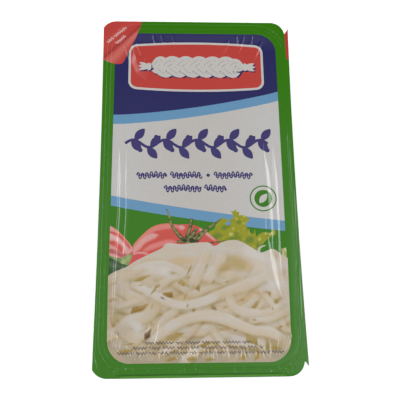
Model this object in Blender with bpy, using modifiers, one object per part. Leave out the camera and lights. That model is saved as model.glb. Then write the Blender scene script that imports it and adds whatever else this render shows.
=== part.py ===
"""Shut tray pack of thread cheese, lying on its base with the sealed film lid upwards.

Two pieces. The tray is a formed plastic tub, solid because nobody can see into a shut pack: a flat
base with a stiffening groove, drafted walls with shallow flutes, a stacking step and a wide flange.
The lid is a thin printed film over the whole flange, pressed down along the seal and slightly sunken,
creased and puckered where it spans the mouth.

Both were cut along one outline: knife cuts on four sides, and corners rounded by a punch. The long
sides are bowed a little inwards. The punch sat a little left of the knife, so that the right corners
keep a notch and a small pointed horn.

X runs across the pack, Y along it towards the end with the peel corner, Z up. The origin is under the
middle of the pack, on the surface it lies on.
"""
import math

import bmesh
import bpy
from mathutils.geometry import delaunay_2d_cdt

MM = 0.001

# Driving sizes of the pack, in millimetres
PACK_WIDTH = 107.5
PACK_LENGTH = 200.0
PACK_HEIGHT = 26.0

# Cut outline: corners
LEFT_CORNER_RADIUS = 8.5
LEFT_CORNER_OVERSHOOT = 1.1
RIGHT_CORNER_RADIUS = 8.0
PUNCH_SHIFT_TOP = 2.7
PUNCH_SHIFT_BOTTOM = 1.95
NOTCH_BACK = 7.0
NOTCH_WIDTH = 0.6
HORN_LENGTH_TOP = 3.2
HORN_LENGTH_BOTTOM = 2.0
CORNER_STEPS = 8

# Cut outline: inward bow of the long sides, the y of its deepest point and its reach from there
LEFT_BOW = 0.65
LEFT_BOW_MIDDLE = 3.0
LEFT_BOW_REACH = 92.0
RIGHT_BOW = 1.15
RIGHT_BOW_MIDDLE = 8.0
RIGHT_BOW_REACH = 103.0
SIDE_STEPS = 14

# Film lid
FILM_THICKNESS = 0.4
FILM_CLEARANCE = 0.3
SEAL_PRESS = 0.22
SEAL_NEAR = 0.9
SEAL_FAR = 3.1
SEAL_SOFTNESS = 0.5
SEAL_SHIFT = 0.4
FILM_SAG = 0.9
FILM_SAG_REACH = 9.0
SHEET_CELL = 5.5
RIDGE_STEP = 6.0
RIDGE_CLEARANCE = 1.6

# Long creases down both sides of the film, as points along each ridge
CREASES = (
    ((-39.2, 24.0), (-38.3, -16.0), (-39.6, -45.0), (-41.9, -77.0)),
    ((-43.1, 24.0), (-42.7, -16.0), (-44.0, -46.0), (-44.4, -77.0)),
    ((35.8, 24.0), (37.2, -22.0), (38.6, -39.0), (43.4, -67.0)),
    ((41.2, 24.0), (42.5, -22.0), (43.4, -47.0)),
)
CREASE_HEIGHT = 0.42
CREASE_HALF_WIDTH = 1.3
CREASE_FADE = 16.0

# Short puckers where the film gathers at the head: first and last point of each ridge
HEAD_PUCKERS = (
    ((-25.6, 93.2), (-24.2, 87.6)),
    ((-20.7, 93.4), (-19.6, 88.2)),
    ((-14.1, 93.4), (-13.2, 88.2)),
    ((22.5, 93.0), (23.0, 88.8)),
    ((19.2, 90.2), (16.9, 84.2)),
    ((28.0, 93.0), (25.9, 86.0)),
    ((32.5, 93.2), (31.5, 87.8)),
    ((39.2, 91.6), (35.5, 82.6)),
    ((-35.7, 89.2), (-32.6, 81.2)),
)
PUCKER_HEIGHT = 0.3
PUCKER_HALF_WIDTH = 1.0
FOOT_PUCKER_LENGTHS = (10.0, 6.5, 8.5)
FOOT_PUCKER_LEANS = (0.30, -0.22, 0.12, -0.30)
FOOT_PUCKER_PITCH = 6.4
FOOT_PUCKER_FROM_RIM = 1.0

# Mouth of the tray and the flange round it
MOUTH_INSET = 5.8
MOUTH_RADIUS = 13.4
FLANGE_THICKNESS = 0.8
TUB_INSET = 5.2
TUB_RADIUS = 14.0
RECESS_DEPTH = 2.4
RECESS_SLOPE = 1.4

# Walls: stacking step, draft, flutes and the rounded foot
STEP_HEIGHT = 4.6
STEP_DRAFT = 0.3
STEP_LEDGE = 1.6
STEP_LEDGE_DROP = 1.1
WALL_DRAFT = 2.6
FOOT_RADIUS = 4.5
FOOT_STEPS = 4
RADIUS_PER_INSET = 0.35
FLUTE_DEPTH = 0.8
FLUTES_ALONG = 9
FLUTES_ACROSS = 4
POINTS_PER_FLUTE = 5

# Stiffening groove in the base
GROOVE_INSET = 9.0
GROOVE_WIRE_RADIUS = 1.3
GROOVE_DEPTH = 0.9

TRAY_COLOUR = (0.82, 0.82, 0.79, 1.0)
TRAY_ROUGHNESS = 0.38
FILM_COLOUR = (0.06, 0.20, 0.02, 1.0)
FILM_ROUGHNESS = 0.28

HALF_WIDTH = PACK_WIDTH / 2
HALF_LENGTH = PACK_LENGTH / 2
FLANGE_TOP = PACK_HEIGHT - SEAL_PRESS - FILM_THICKNESS - FILM_CLEARANCE
FLANGE_BOTTOM = FLANGE_TOP - FLANGE_THICKNESS


def clear_scene():
    for item in list(bpy.data.objects):
        bpy.data.objects.remove(item, do_unlink=True)


def new_collection(name):
    collection = bpy.data.collections.new(name)
    bpy.context.scene.collection.children.link(collection)
    return collection


def plastic(name, colour, roughness):
    material = bpy.data.materials.new(name)
    material.use_nodes = True
    shader = material.node_tree.nodes["Principled BSDF"]
    shader.inputs["Base Color"].default_value = colour
    shader.inputs["Roughness"].default_value = roughness
    shader.inputs["Metallic"].default_value = 0.0
    return material


def smoothstep(value):
    value = min(max(value, 0.0), 1.0)
    return value * value * (3.0 - 2.0 * value)


def arc(centre_x, centre_y, radius, start_deg, end_deg, steps):
    points = []
    for i in range(steps + 1):
        angle = math.radians(start_deg + (end_deg - start_deg) * i / steps)
        points.append((centre_x + radius * math.cos(angle), centre_y + radius * math.sin(angle)))
    return points


def bow(y, depth, middle, reach):
    return depth * max(0.0, 1.0 - ((y - middle) / reach) ** 2)


def left_edge(y):
    """X of the left cut."""
    return -HALF_WIDTH + bow(y, LEFT_BOW, LEFT_BOW_MIDDLE, LEFT_BOW_REACH)


def right_edge(y):
    """X of the right cut."""
    return HALF_WIDTH - bow(y, RIGHT_BOW, RIGHT_BOW_MIDDLE, RIGHT_BOW_REACH)


def side_points(edge_x, from_y, to_y):
    """Points along a long side, without its ends."""
    points = []
    for i in range(1, SIDE_STEPS):
        y = from_y + (to_y - from_y) * i / SIDE_STEPS
        points.append((edge_x(y), y))
    return points


def right_corner(horn_length, punch_shift, end_sign):
    """Right corner from the horn's tip round to the end edge, as if at the upper end of the pack."""
    centre_x = HALF_WIDTH - punch_shift - RIGHT_CORNER_RADIUS
    centre_y = HALF_LENGTH - RIGHT_CORNER_RADIUS
    notch_y = HALF_LENGTH - NOTCH_BACK
    notch_x = HALF_WIDTH - punch_shift
    tip_y = notch_y + horn_length
    horn = [
        (right_edge(end_sign * tip_y), tip_y),
        (notch_x + NOTCH_WIDTH + 0.3 * punch_shift, notch_y + 0.45 * horn_length),
        (notch_x + NOTCH_WIDTH, notch_y + 0.05 * horn_length),
        (notch_x + 0.5 * NOTCH_WIDTH, notch_y - 0.3 * NOTCH_WIDTH),
    ]
    start_deg = math.degrees(math.asin((notch_y - centre_y) / RIGHT_CORNER_RADIUS))
    return horn + arc(centre_x, centre_y, RIGHT_CORNER_RADIUS, start_deg, 90.0, CORNER_STEPS)


def left_corner():
    """Upper left corner from the end edge round to the left edge, counter-clockwise."""
    centre_x = -(HALF_WIDTH + LEFT_CORNER_OVERSHOOT - LEFT_CORNER_RADIUS)
    centre_y = HALF_LENGTH - LEFT_CORNER_RADIUS
    end_deg = math.degrees(math.acos((-HALF_WIDTH - centre_x) / LEFT_CORNER_RADIUS))
    return arc(centre_x, centre_y, LEFT_CORNER_RADIUS, 90.0, end_deg, CORNER_STEPS)


def mirrored_in_y(points):
    return [(x, -y) for x, y in reversed(points)]


def cut_outline():
    """The one outline of film and flange, counter-clockwise from the upper right horn."""
    upper_right = right_corner(HORN_LENGTH_TOP, PUNCH_SHIFT_TOP, 1)
    upper_left = left_corner()
    lower_right = mirrored_in_y(right_corner(HORN_LENGTH_BOTTOM, PUNCH_SHIFT_BOTTOM, -1))
    points = upper_right + upper_left
    points += side_points(left_edge, upper_left[-1][1], -upper_left[-1][1])
    points += mirrored_in_y(upper_left) + lower_right
    points += side_points(right_edge, lower_right[-1][1], upper_right[0][1])
    return points


def resampled(points, spacing):
    """A closed outline with extra points along its long straight sides."""
    result = []
    for i, (x0, y0) in enumerate(points):
        x1, y1 = points[(i + 1) % len(points)]
        pieces = max(1, round(math.hypot(x1 - x0, y1 - y0) / spacing))
        for k in range(pieces):
            result.append((x0 + (x1 - x0) * k / pieces, y0 + (y1 - y0) * k / pieces))
    return result


def rounded_rectangle(half_x, half_y, radius, steps=CORNER_STEPS):
    """Counter-clockwise from the lower right corner."""
    points = []
    for sign_x, sign_y, start_deg in ((1, -1, -90.0), (1, 1, 0.0), (-1, 1, 90.0), (-1, -1, 180.0)):
        centre_x = sign_x * (half_x - radius)
        centre_y = sign_y * (half_y - radius)
        points += arc(centre_x, centre_y, radius, start_deg, start_deg + 90.0, steps)
    return points


def mouth_distance(x, y):
    """Distance outside the mouth's rim, negative inside the mouth."""
    qx = abs(x) - (HALF_WIDTH - MOUTH_INSET - MOUTH_RADIUS)
    qy = abs(y) - (HALF_LENGTH - MOUTH_INSET - MOUTH_RADIUS)
    outside = math.hypot(max(qx, 0.0), max(qy, 0.0))
    inside = min(max(qx, qy), 0.0)
    return outside + inside - MOUTH_RADIUS


def foot_puckers():
    """Slanted puckers along the foot of the mouth, with lengths and leans that take turns."""
    puckers = []
    reach = HALF_WIDTH - MOUTH_INSET - 0.6 * MOUTH_RADIUS
    low_y = -HALF_LENGTH + MOUTH_INSET + FOOT_PUCKER_FROM_RIM
    count = round(2 * reach / FOOT_PUCKER_PITCH)
    for i in range(count + 1):
        x = -reach + 2 * reach * i / count
        length = FOOT_PUCKER_LENGTHS[i % len(FOOT_PUCKER_LENGTHS)]
        lean = FOOT_PUCKER_LEANS[i % len(FOOT_PUCKER_LEANS)]
        puckers.append(((x, low_y), (x + lean * length, low_y + length)))
    return puckers


def ridges():
    """Every ridge of the film: its path, height, half width and how far it fades out at its ends."""
    found = [(path, CREASE_HEIGHT, CREASE_HALF_WIDTH, CREASE_FADE) for path in CREASES]
    for path in list(HEAD_PUCKERS) + foot_puckers():
        found.append((path, PUCKER_HEIGHT, PUCKER_HALF_WIDTH, 0.5 * math.dist(path[0], path[-1])))
    return found


def ridge_height(ridge, x, y):
    path, height, half_width, fade_length = ridge
    nearest = half_width
    along = 0.0
    run = 0.0
    for (x0, y0), (x1, y1) in zip(path, path[1:]):
        step = math.hypot(x1 - x0, y1 - y0)
        share = ((x - x0) * (x1 - x0) + (y - y0) * (y1 - y0)) / step ** 2
        share = min(max(share, 0.0), 1.0)
        away = math.hypot(x - x0 - share * (x1 - x0), y - y0 - share * (y1 - y0))
        if away < nearest:
            nearest = away
            along = run + share * step
        run += step
    fade = smoothstep(along / fade_length + 0.2) * smoothstep((run - along) / fade_length + 0.2)
    return height * smoothstep(1.0 - nearest / half_width) * fade


RIDGES = ridges()


def film_relief(x, y):
    """Height of the film's upper face under the top of the pack."""
    distance = mouth_distance(x - SEAL_SHIFT, y)
    if distance > 0.0:
        pressed = smoothstep((distance - SEAL_NEAR) / SEAL_SOFTNESS + 0.5)
        pressed *= smoothstep((SEAL_FAR - distance) / SEAL_SOFTNESS + 0.5)
        return -SEAL_PRESS * pressed
    sunken = -FILM_SAG * smoothstep(-distance / FILM_SAG_REACH)
    folds = sum(ridge_height(ridge, x, y) for ridge in RIDGES)
    return min(0.0, sunken + smoothstep(-distance) * folds)


def ridge_lines(ridge):
    """The crest of a ridge and the feet of its two flanks, as three open lines of points."""
    path, _, half_width, _ = ridge
    lines = ([], [], [])
    for (x0, y0), (x1, y1) in zip(path, path[1:]):
        step = math.hypot(x1 - x0, y1 - y0)
        normal_x = (y1 - y0) / step
        normal_y = (x0 - x1) / step
        pieces = max(1, round(step / RIDGE_STEP))
        last = pieces + 1 if (x1, y1) == path[-1] else pieces
        for k in range(last):
            x = x0 + (x1 - x0) * k / pieces
            y = y0 + (y1 - y0) * k / pieces
            for line, side in zip(lines, (-1, 0, 1)):
                line.append((x + side * half_width * normal_x, y + side * half_width * normal_y))
    return lines


def seal_loops():
    """Contour loops round the seal, which the film's triangles follow."""
    loops = []
    for offset in (SEAL_FAR + 0.3, SEAL_FAR - 0.3, SEAL_NEAR + 0.3, SEAL_NEAR - 0.3, -1.0):
        half_x = HALF_WIDTH - MOUTH_INSET + offset
        half_y = HALF_LENGTH - MOUTH_INSET + offset
        loop = rounded_rectangle(half_x, half_y, MOUTH_RADIUS + offset, 6)
        loops.append(resampled([(x + SEAL_SHIFT, y) for x, y in loop], 7.0))
    return loops


def film_sheet_points():
    """Outline, seal loops, ridges and inner points of the sheet, with the edges to be kept."""
    outline = resampled(cut_outline(), 7.0)
    loops = [outline] + seal_loops()
    lines = [line for ridge in RIDGES for line in ridge_lines(ridge)]
    points = []
    edges = []
    for loop in loops:
        first = len(points)
        points += loop
        edges += [(first + i, first + (i + 1) % len(loop)) for i in range(len(loop))]
    for line in lines:
        first = len(points)
        points += line
        edges += [(first + i, first + i + 1) for i in range(len(line) - 1)]
    taken = list(points)
    columns = round(PACK_WIDTH / SHEET_CELL)
    rows = round(PACK_LENGTH / SHEET_CELL)
    for j in range(rows):
        for i in range(columns):
            x = -HALF_WIDTH + PACK_WIDTH * (i + 0.5) / columns
            y = -HALF_LENGTH + PACK_LENGTH * (j + 0.5) / rows
            in_mouth = mouth_distance(x - SEAL_SHIFT, y) < -1.0 - RIDGE_CLEARANCE
            if in_mouth and all(math.dist((x, y), other) > RIDGE_CLEARANCE for other in taken):
                points.append((x, y))
    return points, edges, len(outline)


def make_lid_film(collection):
    points, edges, outline_count = film_sheet_points()
    outline_face = [list(range(outline_count))]
    verts, _, faces, _, _, _ = delaunay_2d_cdt(points, edges, outline_face, 1, 0.0001)
    corners = [(v.x * MM, v.y * MM, (PACK_HEIGHT + film_relief(v.x, v.y)) * MM) for v in verts]
    mesh = bpy.data.meshes.new("lid_film")
    mesh.from_pydata(corners, [], faces)
    mesh.update()
    mesh.shade_smooth()
    film = bpy.data.objects.new("lid_film", mesh)
    collection.objects.link(film)
    solidify = film.modifiers.new("film_thickness", "SOLIDIFY")
    solidify.thickness = FILM_THICKNESS * MM
    solidify.offset = -1.0
    film.data.materials.append(plastic("film", FILM_COLOUR, FILM_ROUGHNESS))
    return film


def fluted_ring(inset, flute_depth):
    """One level of the tub's wall: a rounded rectangle whose straight sides carry flutes."""
    half_x = HALF_WIDTH - TUB_INSET - inset
    half_y = HALF_LENGTH - TUB_INSET - inset
    radius = TUB_RADIUS - RADIUS_PER_INSET * inset
    corners = rounded_rectangle(half_x, half_y, radius)
    per_corner = CORNER_STEPS + 1
    flute_counts = (FLUTES_ALONG, FLUTES_ACROSS, FLUTES_ALONG, FLUTES_ACROSS)
    inward = ((-1, 0), (0, -1), (1, 0), (0, 1))
    points = []
    for side in range(4):
        corner = corners[side * per_corner:(side + 1) * per_corner]
        points += corner
        x0, y0 = corner[-1]
        x1, y1 = corners[((side + 1) % 4) * per_corner]
        samples = flute_counts[side] * POINTS_PER_FLUTE
        for k in range(1, samples):
            share = k / samples
            depth = flute_depth * 0.5 * (1.0 - math.cos(2.0 * math.pi * share * flute_counts[side]))
            x = x0 + (x1 - x0) * share + inward[side][0] * depth
            y = y0 + (y1 - y0) * share + inward[side][1] * depth
            points.append((x, y))
    return points


def tub_levels():
    """Height, inset and flute depth of each level, from inside the flange down to the base."""
    step_foot = FLANGE_BOTTOM - STEP_HEIGHT
    ledge_foot = step_foot - STEP_LEDGE_DROP
    wall_inset = STEP_DRAFT + STEP_LEDGE
    foot_inset = wall_inset + WALL_DRAFT
    levels = [
        (FLANGE_BOTTOM + 0.5 * FLANGE_THICKNESS, 0.0, 0.0),
        (step_foot, STEP_DRAFT, 0.0),
        (ledge_foot, wall_inset, 0.0),
        (ledge_foot - 2.0, wall_inset + 0.3, FLUTE_DEPTH),
        (FOOT_RADIUS + 1.5, foot_inset - 0.2, FLUTE_DEPTH),
    ]
    for i in range(FOOT_STEPS + 1):
        angle = math.radians(90.0 * i / FOOT_STEPS)
        height = FOOT_RADIUS * (1.0 - math.sin(angle))
        inset = foot_inset + FOOT_RADIUS * (1.0 - math.cos(angle))
        levels.append((height, inset, FLUTE_DEPTH * (1.0 - i / FOOT_STEPS)))
    return levels


def lofted(name, rings, collection):
    """A closed body through rings of equal point counts, listed from top to bottom."""
    verts = [(x * MM, y * MM, z * MM) for z, ring in rings for x, y in ring]
    count = len(rings[0][1])
    last = (len(rings) - 1) * count
    faces = [list(range(count)), list(range(last + count - 1, last - 1, -1))]
    for level in range(len(rings) - 1):
        upper = level * count
        lower = upper + count
        for i in range(count):
            j = (i + 1) % count
            faces.append([upper + i, lower + i, lower + j, upper + j])
    mesh = bpy.data.meshes.new(name)
    mesh.from_pydata(verts, [], faces)
    mesh.update()
    body = bpy.data.objects.new(name, mesh)
    collection.objects.link(body)
    return body


def as_welded_mesh(curve_object, name, collection):
    """The curve's evaluated shape as a mesh object with its caps joined; the curve is removed."""
    bpy.context.view_layer.update()
    evaluated = curve_object.evaluated_get(bpy.context.evaluated_depsgraph_get())
    mesh = bpy.data.meshes.new_from_object(evaluated)
    work = bmesh.new()
    work.from_mesh(mesh)
    bmesh.ops.remove_doubles(work, verts=work.verts, dist=0.000001)
    bmesh.ops.recalc_face_normals(work, faces=work.faces)
    work.to_mesh(mesh)
    work.free()
    mesh_object = bpy.data.objects.new(name, mesh)
    mesh_object.matrix_world = curve_object.matrix_world.copy()
    collection.objects.link(mesh_object)
    bpy.data.objects.remove(curve_object, do_unlink=True)
    return mesh_object


def closed_spline(name, points, dimensions, collection):
    curve = bpy.data.curves.new(name, "CURVE")
    curve.dimensions = dimensions
    spline = curve.splines.new("POLY")
    spline.points.add(len(points) - 1)
    for point, (x, y) in zip(spline.points, points):
        point.co = (x * MM, y * MM, 0.0, 1.0)
    spline.use_cyclic_u = True
    curve_object = bpy.data.objects.new(name, curve)
    collection.objects.link(curve_object)
    return curve_object


def flat_plate(name, outline, low, high, collection):
    plate = closed_spline(name + "_outline", outline, "2D", collection)
    plate.data.fill_mode = "BOTH"
    plate.data.extrude = 0.5 * (high - low) * MM
    plate.location.z = 0.5 * (low + high) * MM
    return as_welded_mesh(plate, name, collection)


def groove_cutter(cutters):
    """A closed ring of round wire that bites into the base."""
    inset = TUB_INSET + STEP_DRAFT + STEP_LEDGE + WALL_DRAFT + FOOT_RADIUS + GROOVE_INSET
    path = rounded_rectangle(HALF_WIDTH - inset, HALF_LENGTH - inset, GROOVE_INSET, 5)
    ring = closed_spline("base_groove_path", path, "3D", cutters)
    ring.data.bevel_depth = GROOVE_WIRE_RADIUS * MM
    ring.data.bevel_resolution = 2
    ring.location.z = (GROOVE_DEPTH - GROOVE_WIRE_RADIUS) * MM
    return as_welded_mesh(ring, "base_groove_cutter", cutters)


def recess_cutter(cutters):
    """Clears the tub's top under the mouth, so that the film can sink a little."""
    rings = []
    for height, inset in ((PACK_HEIGHT, 0.0), (FLANGE_TOP, 0.0), (FLANGE_TOP - RECESS_DEPTH, RECESS_SLOPE)):
        half_x = HALF_WIDTH - MOUTH_INSET - inset
        half_y = HALF_LENGTH - MOUTH_INSET - inset
        rings.append((height, rounded_rectangle(half_x, half_y, MOUTH_RADIUS - inset)))
    return lofted("mouth_recess_cutter", rings, cutters)


def add_boolean(target, tool, operation):
    tool.hide_render = True
    tool.display_type = "WIRE"
    modifier = target.modifiers.new(tool.name, "BOOLEAN")
    modifier.operation = operation
    modifier.solver = "EXACT"
    modifier.object = tool


def make_tray(collection, cutters):
    rings = [(height, fluted_ring(inset, flute)) for height, inset, flute in tub_levels()]
    tray = lofted("tray", rings, collection)
    flange = flat_plate("flange_plate", cut_outline(), FLANGE_BOTTOM, FLANGE_TOP, cutters)
    add_boolean(tray, flange, "UNION")
    add_boolean(tray, recess_cutter(cutters), "DIFFERENCE")
    add_boolean(tray, groove_cutter(cutters), "DIFFERENCE")
    tray.data.materials.append(plastic("tray_plastic", TRAY_COLOUR, TRAY_ROUGHNESS))
    return tray


def main():
    clear_scene()
    pack = new_collection("cheese_tray_pack")
    cutters = new_collection("cutters")
    make_tray(pack, cutters)
    make_lid_film(pack)


main()
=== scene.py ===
"""Looks of the shut thread cheese tray pack: a glossy printed film lid over a white formed tray.

All helper functions work in millimetres in the pack's own frame: x across, y along, z up.
Meshes are turned into metres when they are made.
"""

import math
import random

import bpy
import numpy as np
from mathutils import Matrix, Vector
from mathutils.geometry import delaunay_2d_cdt
from mathutils.kdtree import KDTree


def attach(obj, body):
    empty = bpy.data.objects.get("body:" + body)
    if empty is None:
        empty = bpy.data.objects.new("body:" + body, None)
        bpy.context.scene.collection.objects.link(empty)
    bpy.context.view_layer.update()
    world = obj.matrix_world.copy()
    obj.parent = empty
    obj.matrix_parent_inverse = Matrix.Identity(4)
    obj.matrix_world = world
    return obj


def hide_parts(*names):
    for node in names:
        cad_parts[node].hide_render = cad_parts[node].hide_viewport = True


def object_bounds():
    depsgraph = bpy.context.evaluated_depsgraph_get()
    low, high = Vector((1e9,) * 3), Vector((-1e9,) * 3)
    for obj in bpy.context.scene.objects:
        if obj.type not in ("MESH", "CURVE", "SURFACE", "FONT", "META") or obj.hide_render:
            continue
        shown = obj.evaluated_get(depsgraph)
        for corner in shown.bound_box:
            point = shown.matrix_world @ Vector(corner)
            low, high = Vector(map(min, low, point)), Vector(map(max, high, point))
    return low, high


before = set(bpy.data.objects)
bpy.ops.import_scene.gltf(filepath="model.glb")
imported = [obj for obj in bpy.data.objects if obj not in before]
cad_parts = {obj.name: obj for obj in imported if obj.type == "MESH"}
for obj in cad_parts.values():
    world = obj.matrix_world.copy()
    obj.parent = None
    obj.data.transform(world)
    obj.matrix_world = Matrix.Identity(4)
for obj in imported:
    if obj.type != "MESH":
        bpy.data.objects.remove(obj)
cad_low, cad_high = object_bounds()

MM = 0.001
SEED = 7
FAR = 1e9

# The pack, as the solids in model.glb have it
PACK_WIDTH = (cad_high.x - cad_low.x) / MM
PACK_LENGTH = (cad_high.y - cad_low.y) / MM
PACK_HEIGHT = (cad_high.z - cad_low.z) / MM
HALF_WIDTH = PACK_WIDTH / 2
HALF_LENGTH = PACK_LENGTH / 2

# Cut outline, as on the solids
LEFT_CORNER_RADIUS = 8.5
LEFT_CORNER_OVERSHOOT = 1.1
RIGHT_CORNER_RADIUS = 8.0
PUNCH_SHIFT_TOP = 2.7
PUNCH_SHIFT_BOTTOM = 1.95
NOTCH_BACK = 7.0
NOTCH_WIDTH = 0.6
HORN_LENGTH_TOP = 3.2
HORN_LENGTH_BOTTOM = 2.0
LEFT_BOW = 0.65
LEFT_BOW_MIDDLE = 3.0
LEFT_BOW_REACH = 92.0
RIGHT_BOW = 1.15
RIGHT_BOW_MIDDLE = 8.0
RIGHT_BOW_REACH = 103.0

# Camera: the photograph's angle, fitted to the four corners of the film
CAMERA_PLACE = (-14.04, -105.82, 320.69)
CAMERA_TILT = 16.858
CAMERA_LEAN = -2.489
CAMERA_ROLL = -0.078
CAMERA_LENS = 56.52
SENSOR_WIDTH = 36.0

# Ink colours, as sRGB values from 0 to 255
GREEN = (50, 113, 12)
# The next two are a painted shade and a painted highlight for the lines along the film's bent-down foot
FOOT_SHADE = (38, 94, 8)
FOOT_HIGHLIGHT = (76, 133, 40)
NAVY = (41, 41, 89)
LIGHT_BLUE = (97, 141, 175)
PAPER_WHITE = (186, 183, 179)
RED = (178, 64, 58)
RED_CURL = (192, 102, 93)
RED_FOLD = (140, 48, 46)
PEEL_MARK = (204, 160, 156)
GARLAND_NAVY = (58, 52, 102)
TOMATO = (192, 78, 70)
TOMATO_PALE = (203, 148, 144)
TOMATO_PINK = (204, 122, 115)
LEAF = (140, 140, 24)
LEAF_DARK = (92, 118, 32)
LEAF_LIGHT = (192, 190, 128)
CALYX_DARK = (44, 50, 28)
CALYX_LIGHT = (144, 138, 84)
CALYX_PALE = (150, 162, 108)
CHEESE_WHITE = (187, 179, 170)
CHEESE = (184, 169, 147)
CHEESE_WARM = (188, 165, 132)
CHEESE_HOLLOW = (168, 145, 92)
CHEESE_GREY = (160, 148, 126)
THREAD_EDGE = (158, 134, 78)
STRAND_LIGHT = (192, 184, 174)
STRAND_EDGE = (173, 152, 108)
GLEAM = (194, 188, 181)
GAP_OLIVE = (143, 120, 54)
GAP_AMBER = (134, 99, 38)
GAP_DARK = (96, 68, 46)
FOOT_WAVE_GREY = (88, 78, 76)
INK_GAIN = 1.03

# Share of a fold's side that its rounded crest and foot take
ROOF_ROUNDING = 0.2


def smoothstep(value):
    value = np.clip(value, 0.0, 1.0)
    return value * value * (3.0 - 2.0 * value)


def bump(value):
    """A smooth hill: 1 at 0, down to 0 at -1 and 1."""
    return smoothstep(1.0 - np.abs(value))


def roof(value):
    """A gable with even sides: 1 at 0, down to 0 at -1 and 1, a little rounded at crest and feet."""
    rise = np.clip(1.0 - np.abs(value), 0.0, 1.0)
    straight = (rise - 0.5 * ROOF_ROUNDING) / (1.0 - ROOF_ROUNDING)
    bend = 2.0 * ROOF_ROUNDING * (1.0 - ROOF_ROUNDING)
    foot = rise ** 2 / bend
    crest = 1.0 - (1.0 - rise) ** 2 / bend
    return np.where(rise < ROOF_ROUNDING, foot, np.where(rise > 1.0 - ROOF_ROUNDING, crest, straight))


def linear(colour):
    """Linear light of sRGB values from 0 to 255."""
    share = np.asarray(colour, float) / 255.0
    return np.where(share <= 0.04045, share / 12.92, ((share + 0.055) / 1.055) ** 2.4)


def mix(first, second, share):
    """Blends colours; share may be one value for each row."""
    share = np.asarray(share, float)[..., None]
    return np.asarray(first, float) * (1.0 - share) + np.asarray(second, float) * share


def waves(position, seed, pitches):
    """A soft, uneven wave between about -1 and 1, the same each run."""
    draw = random.Random(seed)
    total = 0.0
    for pitch in pitches:
        total = total + np.sin(position * (2.0 * math.pi / pitch) + draw.uniform(0.0, 6.28))
    return total / len(pitches)


def cloud(x, y, seed, size):
    """Soft uneven spots of about the given size, between about -1 and 1."""
    draw = random.Random(seed)
    total = 0.0
    for _ in range(7):
        turn = draw.uniform(0.0, math.pi)
        pitch = size * draw.uniform(1.4, 3.2)
        phase = draw.uniform(0.0, 6.28)
        total = total + np.sin((x * math.cos(turn) + y * math.sin(turn)) * (2.0 * math.pi / pitch) + phase)
    return total / 3.4


# Outlines

def arc(centre_x, centre_y, radius, start_deg, end_deg, steps):
    angles = [math.radians(start_deg + (end_deg - start_deg) * i / steps) for i in range(steps + 1)]
    return [(centre_x + radius * math.cos(angle), centre_y + radius * math.sin(angle)) for angle in angles]


def bow(y, depth, middle, reach):
    return depth * max(0.0, 1.0 - ((y - middle) / reach) ** 2)


def left_edge(y):
    """X of the left cut."""
    return -HALF_WIDTH + bow(y, LEFT_BOW, LEFT_BOW_MIDDLE, LEFT_BOW_REACH)


def right_edge(y):
    """X of the right cut."""
    return HALF_WIDTH - bow(y, RIGHT_BOW, RIGHT_BOW_MIDDLE, RIGHT_BOW_REACH)


def side_points(edge_x, from_y, to_y, steps=14):
    """Points along a long side, without its ends."""
    rows = [from_y + (to_y - from_y) * i / steps for i in range(1, steps)]
    return [(edge_x(y), y) for y in rows]


def right_corner(horn_length, punch_shift, end_sign, steps=8):
    """Right corner from the horn's tip round to the end edge, as if at the upper end of the pack."""
    centre_x = HALF_WIDTH - punch_shift - RIGHT_CORNER_RADIUS
    centre_y = HALF_LENGTH - RIGHT_CORNER_RADIUS
    notch_y = HALF_LENGTH - NOTCH_BACK
    notch_x = HALF_WIDTH - punch_shift
    tip_y = notch_y + horn_length
    horn = [
        (right_edge(end_sign * tip_y), tip_y),
        (notch_x + NOTCH_WIDTH + 0.3 * punch_shift, notch_y + 0.45 * horn_length),
        (notch_x + NOTCH_WIDTH, notch_y + 0.05 * horn_length),
        (notch_x + 0.5 * NOTCH_WIDTH, notch_y - 0.3 * NOTCH_WIDTH),
    ]
    start_deg = math.degrees(math.asin((notch_y - centre_y) / RIGHT_CORNER_RADIUS))
    return horn + arc(centre_x, centre_y, RIGHT_CORNER_RADIUS, start_deg, 90.0, steps)


def left_corner(steps=8):
    """Upper left corner from the end edge round to the left edge, counter-clockwise."""
    centre_x = -(HALF_WIDTH + LEFT_CORNER_OVERSHOOT - LEFT_CORNER_RADIUS)
    centre_y = HALF_LENGTH - LEFT_CORNER_RADIUS
    end_deg = math.degrees(math.acos((-HALF_WIDTH - centre_x) / LEFT_CORNER_RADIUS))
    return arc(centre_x, centre_y, LEFT_CORNER_RADIUS, 90.0, end_deg, steps)


def mirrored_in_y(points):
    return [(x, -y) for x, y in reversed(points)]


def cut_outline():
    """Counter-clockwise from the upper right horn, with the same corners as the solids."""
    upper_right = right_corner(HORN_LENGTH_TOP, PUNCH_SHIFT_TOP, 1)
    upper_left = left_corner()
    lower_right = mirrored_in_y(right_corner(HORN_LENGTH_BOTTOM, PUNCH_SHIFT_BOTTOM, -1))
    points = upper_right + upper_left
    points += side_points(left_edge, upper_left[-1][1], -upper_left[-1][1])
    points += mirrored_in_y(upper_left) + lower_right
    points += side_points(right_edge, lower_right[-1][1], upper_right[0][1])
    return points


def rounded_rectangle(low_x, high_x, low_y, high_y, radius, steps=12):
    """Counter-clockwise from the lower right corner."""
    points = []
    corners = ((high_x, low_y, 1, -1, -90.0), (high_x, high_y, 1, 1, 0.0),
               (low_x, high_y, -1, 1, 90.0), (low_x, low_y, -1, -1, 180.0))
    for x, y, sign_x, sign_y, start_deg in corners:
        points += arc(x - sign_x * radius, y - sign_y * radius, radius, start_deg, start_deg + 90.0, steps)
    return points


def resampled(points, spacing, closed=True):
    result = []
    count = len(points)
    for i in range(count if closed else count - 1):
        x0, y0 = points[i]
        x1, y1 = points[(i + 1) % count]
        pieces = max(1, round(math.hypot(x1 - x0, y1 - y0) / spacing))
        for k in range(pieces):
            result.append((x0 + (x1 - x0) * k / pieces, y0 + (y1 - y0) * k / pieces))
    if not closed:
        result.append(points[-1])
    return result


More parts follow.
